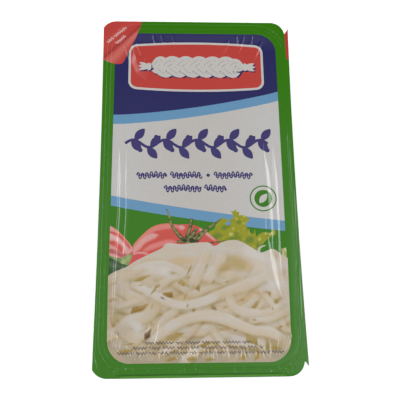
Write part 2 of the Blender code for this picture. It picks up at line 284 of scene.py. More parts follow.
def smooth_path(points, steps=8, closed=False):
    """A Catmull-Rom curve through given points."""
    count = len(points)
    result = []
    for i in range(count if closed else count - 1):
        if closed:
            four = [points[(i + k) % count] for k in (-1, 0, 1, 2)]
        else:
            four = [points[min(max(i + k, 0), count - 1)] for k in (-1, 0, 1, 2)]
        a, b, c, d = (np.array(p, float) for p in four)
        for k in range(steps):
            t = k / steps
            square, cube = 2 * a - 5 * b + 4 * c - d, 3 * b - a - 3 * c + d
            p = 0.5 * (2 * b + (c - a) * t + square * t * t + cube * t ** 3)
            result.append((float(p[0]), float(p[1])))
    if not closed:
        result.append(tuple(points[-1]))
    return result


def placed(points, x, y, turn_deg=0.0, scale=1.0):
    """A shape moved to x, y after being turned and scaled about its own origin."""
    cos, sin = math.cos(math.radians(turn_deg)), math.sin(math.radians(turn_deg))
    return [(x + scale * (px * cos - py * sin), y + scale * (px * sin + py * cos)) for px, py in points]


def ellipse(radius_x, radius_y, steps=28):
    return [(radius_x * math.cos(2 * math.pi * i / steps), radius_y * math.sin(2 * math.pi * i / steps))
            for i in range(steps)]


LOBE_FULLNESS = 0.8


def lobe(length, width, steps=24):
    """A leaf-like shape, pointed at both ends."""
    upper = [(length * (i / steps - 0.5), width * math.sin(math.pi * i / steps) ** LOBE_FULLNESS)
             for i in range(steps + 1)]
    lower = [(x, -y) for x, y in reversed(upper[1:-1])]
    return upper + lower


def ribbon(path, widths):
    """The closed outline of a band of changing half width along a path."""
    path = np.array(path, float)
    tangent = np.gradient(path, axis=0)
    tangent /= np.linalg.norm(tangent, axis=1)[:, None]
    normal = np.stack([-tangent[:, 1], tangent[:, 0]], 1)
    widths = np.asarray(widths, float)[:, None]
    left = path + normal * widths
    right = path - normal * widths
    return [tuple(p) for p in left] + [tuple(p) for p in right[::-1]]


def inside(outline, x, y):
    """Which of the points x, y lie inside a closed outline."""
    result = np.zeros(len(x), bool)
    poly = np.array(outline, float)
    low, high = poly.min(0), poly.max(0)
    near = np.nonzero((x >= low[0]) & (x <= high[0]) & (y >= low[1]) & (y <= high[1]))[0]
    px, py = x[near], y[near]
    odd = np.zeros(len(near), bool)
    for (x0, y0), (x1, y1) in zip(poly, np.roll(poly, -1, axis=0)):
        if y0 == y1:
            continue
        crosses = ((y0 > py) != (y1 > py)) & (px < (x1 - x0) * (py - y0) / (y1 - y0) + x0)
        odd ^= crosses
    result[near] = odd
    return result


def near_path(path, x, y):
    """For each point: distance from a polyline, distance run along it, and the nearest piece's index."""
    best = np.full(len(x), FAR)
    along = np.zeros(len(x))
    piece = np.zeros(len(x), int)
    run = 0.0
    for i, (p, q) in enumerate(zip(path[:-1], path[1:])):
        step_x, step_y = q[0] - p[0], q[1] - p[1]
        length = math.hypot(step_x, step_y)
        share = np.clip(((x - p[0]) * step_x + (y - p[1]) * step_y) / length ** 2, 0.0, 1.0)
        away = np.hypot(x - p[0] - share * step_x, y - p[1] - share * step_y)
        closer = away < best
        best = np.where(closer, away, best)
        along = np.where(closer, run + share * length, along)
        piece = np.where(closer, i, piece)
        run += length
    return best, along, piece


def within_reach(path, reach, x, y):
    """Indices of the points in the path's bounding box, widened by reach."""
    low = np.min(path, axis=0) - reach
    high = np.max(path, axis=0) + reach
    return np.nonzero((x > low[0]) & (x < high[0]) & (y > low[1]) & (y < high[1]))[0]


# Relief of the film: a seal band between two contours, a bent-down lip, the sag and the folds

def box_distance(x, y, low_x, high_x, low_y, high_y, radius):
    """Distance outside a rounded rectangle, negative inside it."""
    qx = np.abs(x - 0.5 * (low_x + high_x)) - (0.5 * (high_x - low_x) - radius)
    qy = np.abs(y - 0.5 * (low_y + high_y)) - (0.5 * (high_y - low_y) - radius)
    return np.hypot(np.maximum(qx, 0.0), np.maximum(qy, 0.0)) + np.minimum(np.maximum(qx, qy), 0.0) - radius


# Contours as low x, high x, low y, high y and corner radius
SEAL_INNER = (-48.8, 49.3, -95.2, 95.0, 14.2)
SEAL_OUTER = (-51.2, 50.9, -98.7, 98.4, 17.2)
MOUTH = (-47.55, 48.35, -94.2, 94.2, 13.4)
FILM_LEVEL = -0.07
FILM_CEILING = -0.01
CEILING_SOFTNESS = 0.06
SEAL_PRESS = 0.2
SEAL_SOFTNESS = 0.3
BEAD_HEIGHT = 0.07
BEAD_HALF = 0.42
BEAD_INSET = 0.75
LEFT_BEADS = 0.6
RIGHT_BEADS = 1.3
FAINT_SIDE_X = 40.0
LIP_DROP = 0.04
LOW_LIP_DROP = 0.09
LIP_WIDTH = 1.6
LEFT_LIP_INSET = 0.6
RIGHT_LIP_INSET = 0.9
FILM_SAG = 0.6
FILM_SAG_REACH = 9.0
SLACK_HEIGHT = 0.06

# Long creases down both sides: half width, steepness, then the path
CREASES = (
    (1.0, 0.21, (-39.2, 24.0), (-38.3, -16.0), (-39.6, -45.0), (-41.9, -77.0)),
    (1.0, 0.26, (-43.1, 24.0), (-42.7, -16.0), (-44.0, -46.0), (-44.4, -77.0)),
    (3.0, 0.155, (35.8, 24.0), (37.2, -22.0), (38.6, -39.0)),
    (3.0, 0.215, (35.9, -16.0), (35.8, -33.4), (36.6, -40.0), (38.0, -49.3), (39.5, -54.5), (41.3, -59.7),
     (43.2, -66.0)),
    (1.8, 0.25, (41.2, 24.0), (41.4, -22.0), (41.2, -38.0), (41.9, -46.0), (43.4, -55.0)),
)
CREASE_TAPER = 22.0
# Puckers where the film gathers at the head: the end at the seal and the middle
HEAD_PUCKERS = (
    ((-25.6, 93.2), (-24.2, 87.6)),
    ((-20.7, 93.4), (-19.6, 88.2)),
    ((-14.1, 93.4), (-13.2, 88.2)),
    ((22.5, 93.0), (23.0, 88.8)),
    ((19.2, 90.2), (16.9, 84.2)),
    ((28.0, 93.0), (25.9, 86.0)),
    ((32.5, 93.2), (31.5, 87.8)),
    ((39.2, 91.6), (35.5, 82.6)),
    ((-35.7, 89.2), (-32.6, 81.2)),
    ((-42.5, 87.2), (-40.0, 80.4)),
    ((-37.5, 85.3), (-35.9, 82.3)),
)
PUCKER_HALF = 1.3
PUCKER_TAPER = 0.35
PUCKER_STEEPNESS = 0.84
FOOT_FOLDS = (
    ((-38.9, -76.8), (-42.2, -85.3)),
    ((-23.2, -70.4), (-27.7, -79.9)),
    ((-20.4, -71.1), (-21.4, -79.3), (-23.4, -84.8)),
    ((-44.2, -75.4), (-43.6, -86.0)),
    ((-42.7, -75.8), (-41.9, -87.2)),
    ((-41.0, -78.6), (-40.9, -87.6)),
)
LABEL_FOLD = ((-36.3, 80.9), (-28.7, 62.5))
CORNER_FOLD = ((45.7, -76.6), (45.2, -80.6), (43.8, -83.6), (41.4, -87.3), (38.0, -89.3))
FLANGE_LINES = (
    ((53.0, 8.0), (52.6, -25.0), (51.6, -50.0), (51.0, -76.0)),
    ((51.4, 0.0), (50.8, -36.0), (49.7, -62.0), (49.1, -80.0)),
)
CORNER_CRINKLES = (
    ((-44.9, -95.8), (-42.9, -99.1)),
    ((-43.4, -95.3), (-41.4, -98.6)),
    ((-42.0, -95.8), (-40.4, -98.2)),
    ((-53.0, -87.1), (-51.3, -93.8), (-50.7, -96.6)),
    ((40.6, -94.9), (42.5, -97.8), (43.9, -99.4)),
    ((37.0, -97.8), (38.6, -95.9), (39.5, -97.8)),
    ((43.2, -92.8), (44.6, -95.6), (44.9, -98.4)),
    ((46.2, -92.6), (46.9, -95.0), (46.6, -97.4)),
    ((38.6, -93.2), (37.9, -95.0), (38.5, -96.4)),
)
GATHERS_FROM_X = -40.5
GATHERS_TO_X = 41.0
GATHERS_Y = -92.4
FOOT_WRINKLES = 34
SIDE_WRINKLES = 26
SIDE_WRINKLES_X = -51.6
EDGE_STEEPNESS = 0.18
EDGE_STEEPNESS_X = 40.0
MIDDLE_STEEPNESS = 0.26
SAG_STEEPNESS = 0.09
SAG_STEEPNESS_X = 43.0
SAG_STEEPNESS_REACH = 5.5
SLOPE_STEP = 0.02


def flange_slope(x):
    """The slope at which a fold's side mirrors a lamp to the camera, where the film lies flat."""
    return MIDDLE_STEEPNESS + (EDGE_STEEPNESS - MIDDLE_STEEPNESS) * min(abs(x) / EDGE_STEEPNESS_X, 1.0)


def glint_slope(x):
    """The same slope over the mouth, where the film sags."""
    return flange_slope(x) + SAG_STEEPNESS * float(bump((abs(x) - SAG_STEEPNESS_X) / SAG_STEEPNESS_REACH))


class Ridge:
    """A fold standing up from the film along a path, with evenly steep sides and pointed ends."""

    POINT_SHARE = 0.12
    OFFSETS = (-1.0, -0.8, -0.5, -0.2, 0.0, 0.2, 0.5, 0.8, 1.0)

    def __init__(self, path, half_width, taper, steepness=None):
        self.path = path
        self.half_width = half_width
        self.taper = taper
        self.height = (steepness or glint_slope(path[0][0])) * half_width * (1.0 - ROOF_ROUNDING)
        self.run = sum(math.dist(p, q) for p, q in zip(path, path[1:]))

    def width_share(self, along):
        full = smoothstep(along / self.taper) * smoothstep((self.run - along) / self.taper)
        return self.POINT_SHARE + (1.0 - self.POINT_SHARE) * full

    def add_to(self, total, x, y):
        near = within_reach(self.path, self.half_width, x, y)
        away, along, _ = near_path(self.path, x[near], y[near])
        share = self.width_share(along)
        total[near] += self.height * share * roof(away / (self.half_width * share))

    def lines(self, spacing=0.9):
        """Points beside the crest, close enough across the fold to keep it smooth."""
        points = []
        run = 0.0
        for (x0, y0), (x1, y1) in zip(self.path, self.path[1:]):
            length = math.dist((x0, y0), (x1, y1))
            pieces = max(1, round(length / spacing))
            for k in range(pieces + 1):
                share = k / pieces
                half = self.half_width * float(self.width_share(run + share * length)) / length
                for offset in self.OFFSETS:
                    points.append((x0 + (x1 - x0) * share + offset * half * (y1 - y0),
                                   y0 + (y1 - y0) * share - offset * half * (x1 - x0)))
            run += length
        return points


def foot_gathers():
    """Uneven gathers along the foot of the mouth, many of them in pairs that meet like a V."""
    draw = random.Random(SEED)
    found = []
    x = GATHERS_FROM_X
    while x < GATHERS_TO_X:
        length = draw.uniform(5.5, 12.0)
        lean = draw.uniform(-0.34, 0.34)
        low_y = GATHERS_Y + draw.uniform(-0.3, 0.8) + 4.2 * smoothstep((abs(x) - 32.0) / 12.0)
        half_width = draw.uniform(0.85, 1.35)
        found.append(Ridge(((x, low_y), (x + lean * length, low_y + length)), half_width, 0.4 * length))
        if draw.random() < 0.5:
            split = lean + draw.choice((-0.45, 0.45))
            twin = ((x, low_y), (x + split * length, low_y + 0.8 * length))
            found.append(Ridge(twin, half_width, 0.3 * length))
        x += draw.uniform(1.5, 3.2)
    return found


def flange_wrinkles():
    """Little wrinkles of the film across the seal, and the long lines and crinkles beside it."""
    draw = random.Random(SEED + 5)
    found = []
    for _ in range(FOOT_WRINKLES):
        x = draw.uniform(-46.0, 44.0)
        low_y = draw.uniform(-98.4, -95.6)
        path = ((x, low_y), (x + draw.uniform(-0.8, 0.8), low_y + draw.uniform(0.8, 2.2)))
        found.append(Ridge(path, 0.4, 0.6, flange_slope(x)))
    for _ in range(SIDE_WRINKLES):
        y = draw.choice((draw.uniform(-84.0, 70.0), draw.uniform(4.0, 40.0)))
        x = SIDE_WRINKLES_X + draw.uniform(-0.5, 1.5)
        path = ((x, y), (x + draw.uniform(-0.3, 0.3), y + draw.uniform(0.5, 1.5)))
        found.append(Ridge(path, 0.22, 0.5))
    found += [Ridge(path, 0.5, 9.0) for path in FLANGE_LINES]
    found += [Ridge(path, 0.5, 1.4, EDGE_STEEPNESS) for path in CORNER_CRINKLES]
    return found


def all_ridges():
    found = [Ridge(path, half, CREASE_TAPER, steepness) for half, steepness, *path in CREASES]
    for path in HEAD_PUCKERS:
        longer = (path[0], (2.0 * path[1][0] - path[0][0], 2.0 * path[1][1] - path[0][1]))
        steepness = PUCKER_STEEPNESS * glint_slope(path[0][0])
        found.append(Ridge(longer, PUCKER_HALF, PUCKER_TAPER * math.dist(*longer), steepness))
    found += [Ridge(path, 1.1, 4.0) for path in FOOT_FOLDS]
    found.append(Ridge(LABEL_FOLD, 4.6, 7.0, 0.17))
    found.append(Ridge(CORNER_FOLD, 1.1, 5.0, 0.27))
    return found + foot_gathers() + flange_wrinkles()


RIDGES = all_ridges()


def film_relief(x, y):
    """Height of the film's upper face under the top of the pack, for arrays of points.

    The seal band and its beads are faint along the upper right side, and at the lower right corner.
    """
    inner = box_distance(x, y, *SEAL_INNER)
    outer = box_distance(x, y, *SEAL_OUTER)
    mouth = box_distance(x, y, *MOUTH)
    along = np.where(np.abs(x) / HALF_WIDTH > np.abs(y) / HALF_LENGTH, y, x)
    uneven = 0.75 + 0.25 * waves(along, 11, (5.3, 8.9, 3.1))
    right = x > FAINT_SIDE_X
    pressed = smoothstep(inner / SEAL_SOFTNESS) * smoothstep(-outer / SEAL_SOFTNESS)
    pressed *= 1.0 - 0.96 * smoothstep((y - 10.0) / 30.0) * smoothstep((90.0 - y) / 8.0) * right
    strength = np.where(x < 0.0, LEFT_BEADS, RIGHT_BEADS) * (1.0 - 0.94 * smoothstep((y + 5.0) / 40.0))
    strength *= 1.0 - 0.9 * smoothstep((-76.0 - y) / 8.0) * right
    beads = bump((inner - BEAD_INSET) / BEAD_HALF) + bump((outer + BEAD_INSET) / BEAD_HALF)
    beads = BEAD_HEIGHT * beads * uneven * strength
    edge_x = np.where(x < 0.0, x + HALF_WIDTH - LEFT_LIP_INSET, HALF_WIDTH - RIGHT_LIP_INSET - x)
    to_edge = np.minimum(edge_x, HALF_LENGTH - np.abs(y))
    drop = LIP_DROP + LOW_LIP_DROP * smoothstep((15.0 - y) / 30.0)
    lip = -drop * smoothstep(1.0 - to_edge / LIP_WIDTH) * (0.8 + 0.2 * uneven)
    sunken = -FILM_SAG * smoothstep(-mouth / FILM_SAG_REACH)
    slack = SLACK_HEIGHT * waves(x, 21, (13.0, 7.7, 19.0)) * waves(y, 22, (90.0, 61.0))
    slack *= smoothstep(-mouth / 6.0)
    folds = np.zeros_like(x)
    for ridge in RIDGES:
        ridge.add_to(folds, x, y)
    total = FILM_LEVEL - SEAL_PRESS * pressed + beads + lip + sunken + slack + folds
    above = (total - FILM_CEILING) / CEILING_SOFTNESS
    return FILM_CEILING - CEILING_SOFTNESS * np.log1p(np.exp(-above))


def film_normals(x, y):
    """Unit normals of the relief, so that even its smallest folds mirror the lamps cleanly."""
    across = film_relief(x + SLOPE_STEP, y) - film_relief(x - SLOPE_STEP, y)
    along = film_relief(x, y + SLOPE_STEP) - film_relief(x, y - SLOPE_STEP)
    run = 2.0 * SLOPE_STEP
    normals = np.column_stack([-across / run, -along / run, np.ones_like(x)])
    return normals / np.linalg.norm(normals, axis=1)[:, None]


# Print: every shape is an outline with a paint, listed from the bottom layer to the top one

def flat(colour):
    return lambda x, y: np.tile(np.asarray(colour, float), (len(x), 1))


class Ink:
    """A closed outline with one colour, or with a paint that gives each point its colour."""

    def __init__(self, outline, paint, spacing=1.2, closed_in=None):
        self.outline = resampled(outline, spacing)
        self.paint = paint if callable(paint) else flat(paint)
        self.closed_in = closed_in


# How much a stroke's shade takes from red, green and blue, and how far it reaches
SHADE_TINT = np.array((0.8, 1.0, 1.7))
SHADE_REACH = 1.3
LIGHT_X = 0.45
LIGHT_Y = 0.9
PATCH_SOFTNESS = 0.42


class Stroke:
    """A soft pictured band along a path, lit from its upper left and shading what lies under it."""

    def __init__(self, path, half, colour, edge=None, soft=0.7, shade=0.0, ends=0.3, fade=0.0, gleam=None):
        self.path = np.array(smooth_path(path, 6))
        share = np.linspace(0.0, 1.0, len(self.path) - 1)
        uneven = 1.0 + 0.16 * waves(share, len(self.path) + round(10 * half), (0.83, 0.41))
        self.widths = half * np.clip(ends + 4.0 * np.minimum(share, 1.0 - share), 0.0, 1.0) * uneven
        self.run = float(np.linalg.norm(np.diff(self.path, axis=0), axis=1).sum())
        self.colour = colour
        self.edge = colour if edge is None else edge
        self.gleam = colour if gleam is None else gleam
        self.soft = soft
        self.shade = shade
        self.fade = fade
        self.half = half

    def put_on(self, colours, x, y):
        near = within_reach(self.path, self.half + 3.0, x, y)
        if not len(near):
            return
        px, py = x[near], y[near]
        away, along, piece = near_path(self.path, px, py)
        width = np.maximum(self.widths[piece], 0.05)
        step = (self.path[1:] - self.path[:-1])[piece]
        step /= np.linalg.norm(step, axis=1)[:, None]
        side = step[:, 0] * (py - self.path[piece, 1]) - step[:, 1] * (px - self.path[piece, 0])
        facing = np.clip(side * (LIGHT_X * step[:, 1] + LIGHT_Y * step[:, 0]) / width, -1.0, 1.0)
        shown = np.ones(len(near))
        if self.fade > 0.0:
            shown = smoothstep(along / self.fade) * smoothstep((self.run - along) / self.fade)
        near_by = np.exp(-(np.maximum(away - width, 0.0) / SHADE_REACH) ** 2)
        under = self.shade * near_by * (1.0 - 0.6 * facing) * shown
        share = np.clip(away / width, 0.0, 1.0)
        body = mix(self.colour, self.edge, share ** 2 * (0.6 - 0.4 * facing))
        body = mix(body, self.gleam, 0.8 * bump((facing - 0.5) / 0.5))
        cover = shown * smoothstep((width - away) / self.soft + 0.5)
        cover *= np.clip(width / (0.6 * self.soft), 0.0, 1.0)
        ground = colours[near] * (1.0 - under[:, None] * SHADE_TINT)
        colours[near] = ground * (1.0 - cover)[:, None] + body * cover[:, None]


class Patch:
    """A four-sided gap with crisp edges, deeper in colour towards its lower side."""

    def __init__(self, draw, x, y, length, half, turn_deg, colour=GAP_OLIVE):
        tall = 1.3 * half
        corners = [(-0.5 * length, draw.uniform(-0.2, 0.2) * tall), (draw.uniform(-0.3, 0.2) * length, -tall),
                   (0.5 * length, draw.uniform(-0.2, 0.2) * tall), (draw.uniform(-0.2, 0.3) * length, tall)]
        self.corners = np.array(placed(corners, x, y, turn_deg))
        self.colour = colour
        self.pale = mix(colour, CHEESE_HOLLOW, 0.45)
        self.place = (x, y)
        self.half = half

    def put_on(self, colours, x, y):
        near = within_reach(self.corners, 1.5, x, y)
        if not len(near):
            return
        px, py = x[near], y[near]
        depth = np.full(len(near), FAR)
        for (x0, y0), (x1, y1) in zip(self.corners, np.roll(self.corners, -1, axis=0)):
            length = math.hypot(x1 - x0, y1 - y0)
            depth = np.minimum(depth, ((x1 - x0) * (py - y0) - (y1 - y0) * (px - x0)) / length)
        rise = (py - self.place[1] - 0.4 * (px - self.place[0])) / self.half
        body = mix(self.colour, self.pale, smoothstep(0.5 + 0.5 * rise))
        cover = smoothstep(depth / PATCH_SOFTNESS + 0.5)
        colours[near] = colours[near] * (1.0 - cover)[:, None] + body * cover[:, None]


def stroked(ground, strokes):
    """A paint that lays soft strokes over another paint."""
    def paint(x, y):
        colours = ground(x, y)
        for stroke in strokes:
            stroke.put_on(colours, x, y)
        return colours
    return paint


WINDOW = (-46.8, 45.5, -92.9, 92.2)
WINDOW_RADIUS = 11.3


def window_outline(steps=16):
    return rounded_rectangle(*WINDOW, WINDOW_RADIUS, steps)


def navy_edge(x):
    run = x - WINDOW[0]
    return 40.8 + 0.060 * run + 0.00108 * run * run


def blue_edge(x):
    run = x - WINDOW[0]
    return -6.0 - 0.1905 * run + 0.000406 * run * run


BAND_WIDTH = 5.6
NAVY_LOW_Y = 70.0
PAPER_COOL = (185, 183, 181)
PAPER_WARM = (178, 174, 169)


def curve_points(edge, shift, from_x, to_x, steps=46):
    columns = [from_x + (to_x - from_x) * i / steps for i in range(steps + 1)]
    return [(x, edge(x) + shift) for x in columns]


def field_between(upper, upper_shift, lower, lower_shift):
    top = curve_points(upper, upper_shift, WINDOW[1], WINDOW[0])
    bottom = curve_points(lower, lower_shift, WINDOW[0], WINDOW[1])
    return top + bottom


def navy_field():
    rim = [(x, y) for x, y in window_outline() if y > NAVY_LOW_Y]
    return rim + curve_points(navy_edge, 0.0, WINDOW[0], WINDOW[1])


def paper_paint(x, y):
    """White, a little warmer towards its middle."""
    warm = bump((x + 2.0) / 50.0) * 0.6 + 0.12 * cloud(x, y, 61, 14.0)
    return mix(PAPER_COOL, PAPER_WARM, np.clip(warm, 0.0, 1.0))


# The pictured heap of cheese threads

HEAP_TOP = (
    (-47.2, -49.2), (-44.1, -47.1), (-38.3, -44.6), (-33.1, -41.3), (-26.3, -37.8), (-20.0, -34.8), (-16.9, -32.1),
    (-9.0, -32.6), (-2.4, -31.9), (4.5, -31.7), (7.9, -33.6), (13.0, -31.1), (20.0, -30.6), (26.5, -34.0),
    (30.4, -36.5), (33.1, -37.1), (38.6, -35.4), (43.0, -38.4), (46.0, -40.3),
)
# Bold threads: half width, how light, then the path
BOLD_THREADS = (
    (2.6, 0.45, (-37.8, -47.5), (-39.7, -54.4), (-35.4, -59.7), (-27.4, -62.6)),
    (1.5, 0.55, (-22.7, -55.3), (-16.2, -51.3), (-9.0, -48.5), (-1.7, -46.0)),
    (1.3, 0.5, (-46.3, -62.9), (-41.7, -64.6), (-34.7, -62.6), (-27.6, -60.9)),
    (2.0, 0.4, (-9.1, -63.2), (-14.1, -68.1), (-19.0, -72.3), (-23.5, -80.1)),
    (2.2, 0.5, (5.0, -33.4), (2.6, -40.1), (-0.8, -47.7), (-5.8, -57.4)),
    (2.3, 0.6, (12.6, -33.9), (10.8, -40.9), (7.0, -46.7), (1.1, -55.0)),
    (1.9, 0.7, (-37.0, -48.4), (-32.1, -45.4), (-26.3, -43.6), (-17.7, -44.0), (-10.4, -46.5), (-6.7, -50.9)),
    (2.4, 0.6, (-1.3, -64.3), (11.8, -58.4), (22.7, -54.6), (33.8, -49.8), (45.1, -44.0)),
    (1.4, 0.6, (30.1, -56.0), (36.0, -63.0), (41.0, -72.0), (43.0, -80.0)),
    (1.9, 0.7, (14.9, -56.4), (15.8, -63.4), (19.4, -67.0), (26.5, -68.8), (35.2, -68.2), (44.3, -62.7)),
    (1.5, 0.5, (21.4, -73.0), (29.3, -72.2), (36.5, -71.2), (46.6, -66.2)),
    (2.7, 0.6, (-21.6, -60.4), (-25.9, -68.7), (-35.9, -72.4), (-38.7, -76.9), (-34.4, -80.0), (-27.4, -82.2)),
    (1.5, 0.55, (4.0, -74.3), (8.1, -80.2), (11.5, -85.0), (13.5, -90.6)),
    (1.1, 0.55, (29.7, -78.0), (31.2, -83.9), (31.4, -90.7)),
    (1.9, 1.0, (-36.5, -52.4), (-29.1, -55.9), (-23.3, -59.2), (-16.2, -62.8), (-9.1, -64.3), (-1.9, -63.3),
     (5.2, -61.2), (12.5, -57.0)),
    (2.5, 0.85, (-28.0, -84.6), (-18.3, -77.4), (-12.0, -73.4), (-4.2, -70.6), (4.4, -69.8), (12.2, -71.5),
     (19.2, -74.4), (26.9, -77.3), (35.4, -78.4), (43.3, -82.9)),
)
# Gaps between threads: x, y, length, half width, turn in degrees, and the colour if it isn't olive
GAPS = (
    (-29.5, -50.3, 12.0, 0.9, 20.0), (-21.9, -54.5, 4.5, 0.8, 45.0), (-16.6, -59.0, 6.0, 1.7, -24.0, GAP_AMBER),
    (-9.4, -53.2, 4.5, 1.5, -60.0), (-1.9, -54.9, 6.0, 1.6, -62.0), (5.8, -51.6, 4.0, 1.3, -30.0),
    (10.4, -56.4, 5.0, 0.8, 18.0), (3.6, -42.3, 9.0, 0.7, 68.0), (34.2, -59.4, 6.0, 2.0, -50.0, GAP_AMBER),
    (28.4, -64.4, 5.5, 1.2, 35.0), (-31.1, -66.4, 12.0, 2.1, 32.0, GAP_AMBER), (-43.6, -71.6, 6.0, 2.2, 70.0),
    (-43.9, -73.4, 4.0, 1.0, 88.0, GAP_AMBER), (-26.3, -78.4, 7.0, 1.3, 55.0, GAP_DARK),
    (-12.3, -71.0, 3.6, 0.8, 55.0, GAP_DARK), (-3.6, -67.3, 3.6, 0.8, 50.0, GAP_AMBER),
    (7.1, -66.3, 4.0, 0.8, -40.0, GAP_DARK), (12.8, -74.6, 11.0, 0.9, -8.0), (-13.4, -80.0, 12.0, 1.1, 22.0),
    (34.3, -70.2, 6.5, 1.0, 10.0), (25.4, -81.8, 9.0, 2.0, -50.0), (38.9, -63.3, 4.0, 1.4, 30.0),
    (-44.6, -61.5, 5.0, 1.0, 5.0, GAP_AMBER), (-41.0, -78.0, 4.6, 0.9, -12.0, GAP_DARK),
    (-15.0, -91.0, 7.0, 0.9, 4.0), (-4.8, -90.8, 5.0, 1.1, 0.0), (4.4, -91.2, 6.0, 0.8, -6.0),
    (21.0, -90.6, 5.0, 1.1, 24.0), (28.2, -89.2, 7.0, 1.5, 58.0), (2.0, -84.0, 8.0, 1.0, 12.0),
    (37.5, -86.0, 7.0, 1.1, -20.0), (-37.5, -87.0, 9.0, 1.0, 3.0), (20.8, -62.0, 5.0, 0.7, 25.0),
)
SMALL_GAPS = (
    (-24.0, -57.2, 5.6, 0.45, 52.0), (-5.4, -46.2, 7.0, 0.4, 66.0), (-7.8, -60.2, 4.4, 0.4, 60.0),
    (14.2, -52.6, 3.0, 0.4, 14.0), (31.5, -47.0, 3.4, 0.35, 24.0, CHEESE_HOLLOW), (12.4, -65.8, 2.6, 0.4, 14.0),
    (-30.4, -54.0, 4.0, 0.35, 8.0, CHEESE_HOLLOW), (37.0, -66.4, 1.8, 0.4, 80.0), (27.0, -72.0, 3.4, 0.35, -4.0),
    (-6.6, -64.4, 2.6, 0.35, 74.0), (40.6, -75.6, 2.6, 0.5, 12.0), (17.4, -77.2, 2.0, 0.35, 0.0, GAP_DARK),
    (-35.6, -83.4, 6.0, 0.5, 4.0), (33.2, -85.6, 5.0, 0.8, 62.0), (-19.4, -60.6, 3.0, 0.4, -30.0, GAP_DARK),
    (-24.6, -65.0, 3.6, 0.4, 70.0, CHEESE_HOLLOW),
)
# Soft pale lights: half width, then the path
SOFT_LIGHTS = (
    (5.0, (22.0, -33.0), (31.0, -40.0), (37.0, -48.0), (42.0, -58.0)),
    (2.6, (-30.0, -45.6), (-22.0, -46.6), (-13.0, -47.4)),
    (2.2, (-36.5, -70.0), (-33.0, -74.5), (-27.0, -77.0)),
)
# Wide soft hollows in the ground: x, y, radius along, radius across, turn in degrees, strength, colour
HOLLOWS = (
    (19.5, -42.8, 10.0, 5.4, -16.0, 1.0, CHEESE_HOLLOW), (27.5, -45.8, 5.0, 3.2, -20.0, 0.8, CHEESE_WARM),
    (-9.7, -41.6, 12.0, 3.8, 4.0, 0.9, CHEESE_WARM), (-27.5, -42.4, 11.0, 2.8, 14.0, 0.8, CHEESE_WARM),
    (26.0, -60.5, 12.0, 5.0, 25.0, 0.8, CHEESE_WARM), (-11.0, -60.5, 10.0, 4.6, -10.0, 0.8, CHEESE_WARM),
    (9.5, -50.0, 8.0, 3.6, 20.0, 0.8, CHEESE_HOLLOW), (-30.0, -56.0, 5.0, 4.0, 0.0, 0.5, CHEESE_WARM),
    (-2.0, -75.5, 18.0, 3.6, 0.0, 0.8, CHEESE_WARM), (36.0, -74.5, 10.0, 3.4, 0.0, 0.7, CHEESE_HOLLOW),
    (30.0, -84.0, 17.0, 5.0, 0.0, 0.42, GAP_OLIVE), (-12.0, -86.5, 26.0, 4.6, 0.0, 0.32, GAP_OLIVE),
    (-41.0, -68.0, 5.0, 8.0, 0.0, 0.6, CHEESE_HOLLOW), (-42.0, -62.0, 8.0, 17.0, 0.0, 0.5, CHEESE_GREY),
    (13.0, -46.0, 4.5, 2.6, 40.0, 0.6, GAP_OLIVE), (-20.0, -73.0, 7.0, 4.0, 30.0, 0.7, CHEESE_WARM),
)
# Soft shades over the finished heap, in the same form; the last is a painted highlight for the film's glare at the
# window's right edge
LATE_SHADES_AND_PAINTED_GLARE = (
    (12.0, -45.8, 6.0, 3.4, 45.0, 0.6, CHEESE_HOLLOW), (-44.0, -60.0, 8.0, 19.0, 0.0, 0.5, CHEESE_GREY),
    (-24.0, -67.0, 9.0, 6.0, 0.0, 0.2, CHEESE_HOLLOW), (20.0, -60.0, 10.0, 9.0, 0.0, 0.3, CHEESE_WARM),
    (-40.0, -77.0, 8.0, 6.0, 0.0, 0.4, CHEESE_GREY), (12.0, -66.0, 7.0, 4.0, 0.0, 0.3, CHEESE_WARM),
    # Painted highlight: a pale spot standing in for the film's glare by the window's right edge
    (45.0, -60.0, 5.0, 8.5, 0.0, 0.8, CHEESE_WHITE),
)
HEAP_FOOT_Y = -80.0
HIDDEN_THREADS = 34


def heap_outline():
    rim = [(x, y) for x, y in window_outline() if y < HEAP_FOOT_Y]
    split = next(i for i, (x, y) in enumerate(rim) if x < 0.0)
    return rim[:split] + smooth_path(HEAP_TOP[::-1], 5) + rim[split:]


def shaded(colours, x, y, spots):
    """Colours with soft oval spots laid over them."""
    for spot_x, spot_y, radius_x, radius_y, turn_deg, strength, colour in spots:
        cos, sin = math.cos(math.radians(turn_deg)), math.sin(math.radians(turn_deg))
        u = ((x - spot_x) * cos + (y - spot_y) * sin) / radius_x
        v = ((y - spot_y) * cos - (x - spot_x) * sin) / radius_y
        colours = mix(colours, colour, strength * smoothstep(1.15 - np.hypot(u, v)))
    return colours


def heap_ground(x, y):
    colours = mix(CHEESE_WHITE, CHEESE, smoothstep((-41.0 - y) / 18.0 + 0.2 * cloud(x, y, 71, 7.0)))
    colours = mix(colours, CHEESE_GREY, smoothstep((-76.0 - y) / 12.0 + 0.2 * cloud(x, y, 72, 5.0)))
    return shaded(colours, x, y, HOLLOWS)


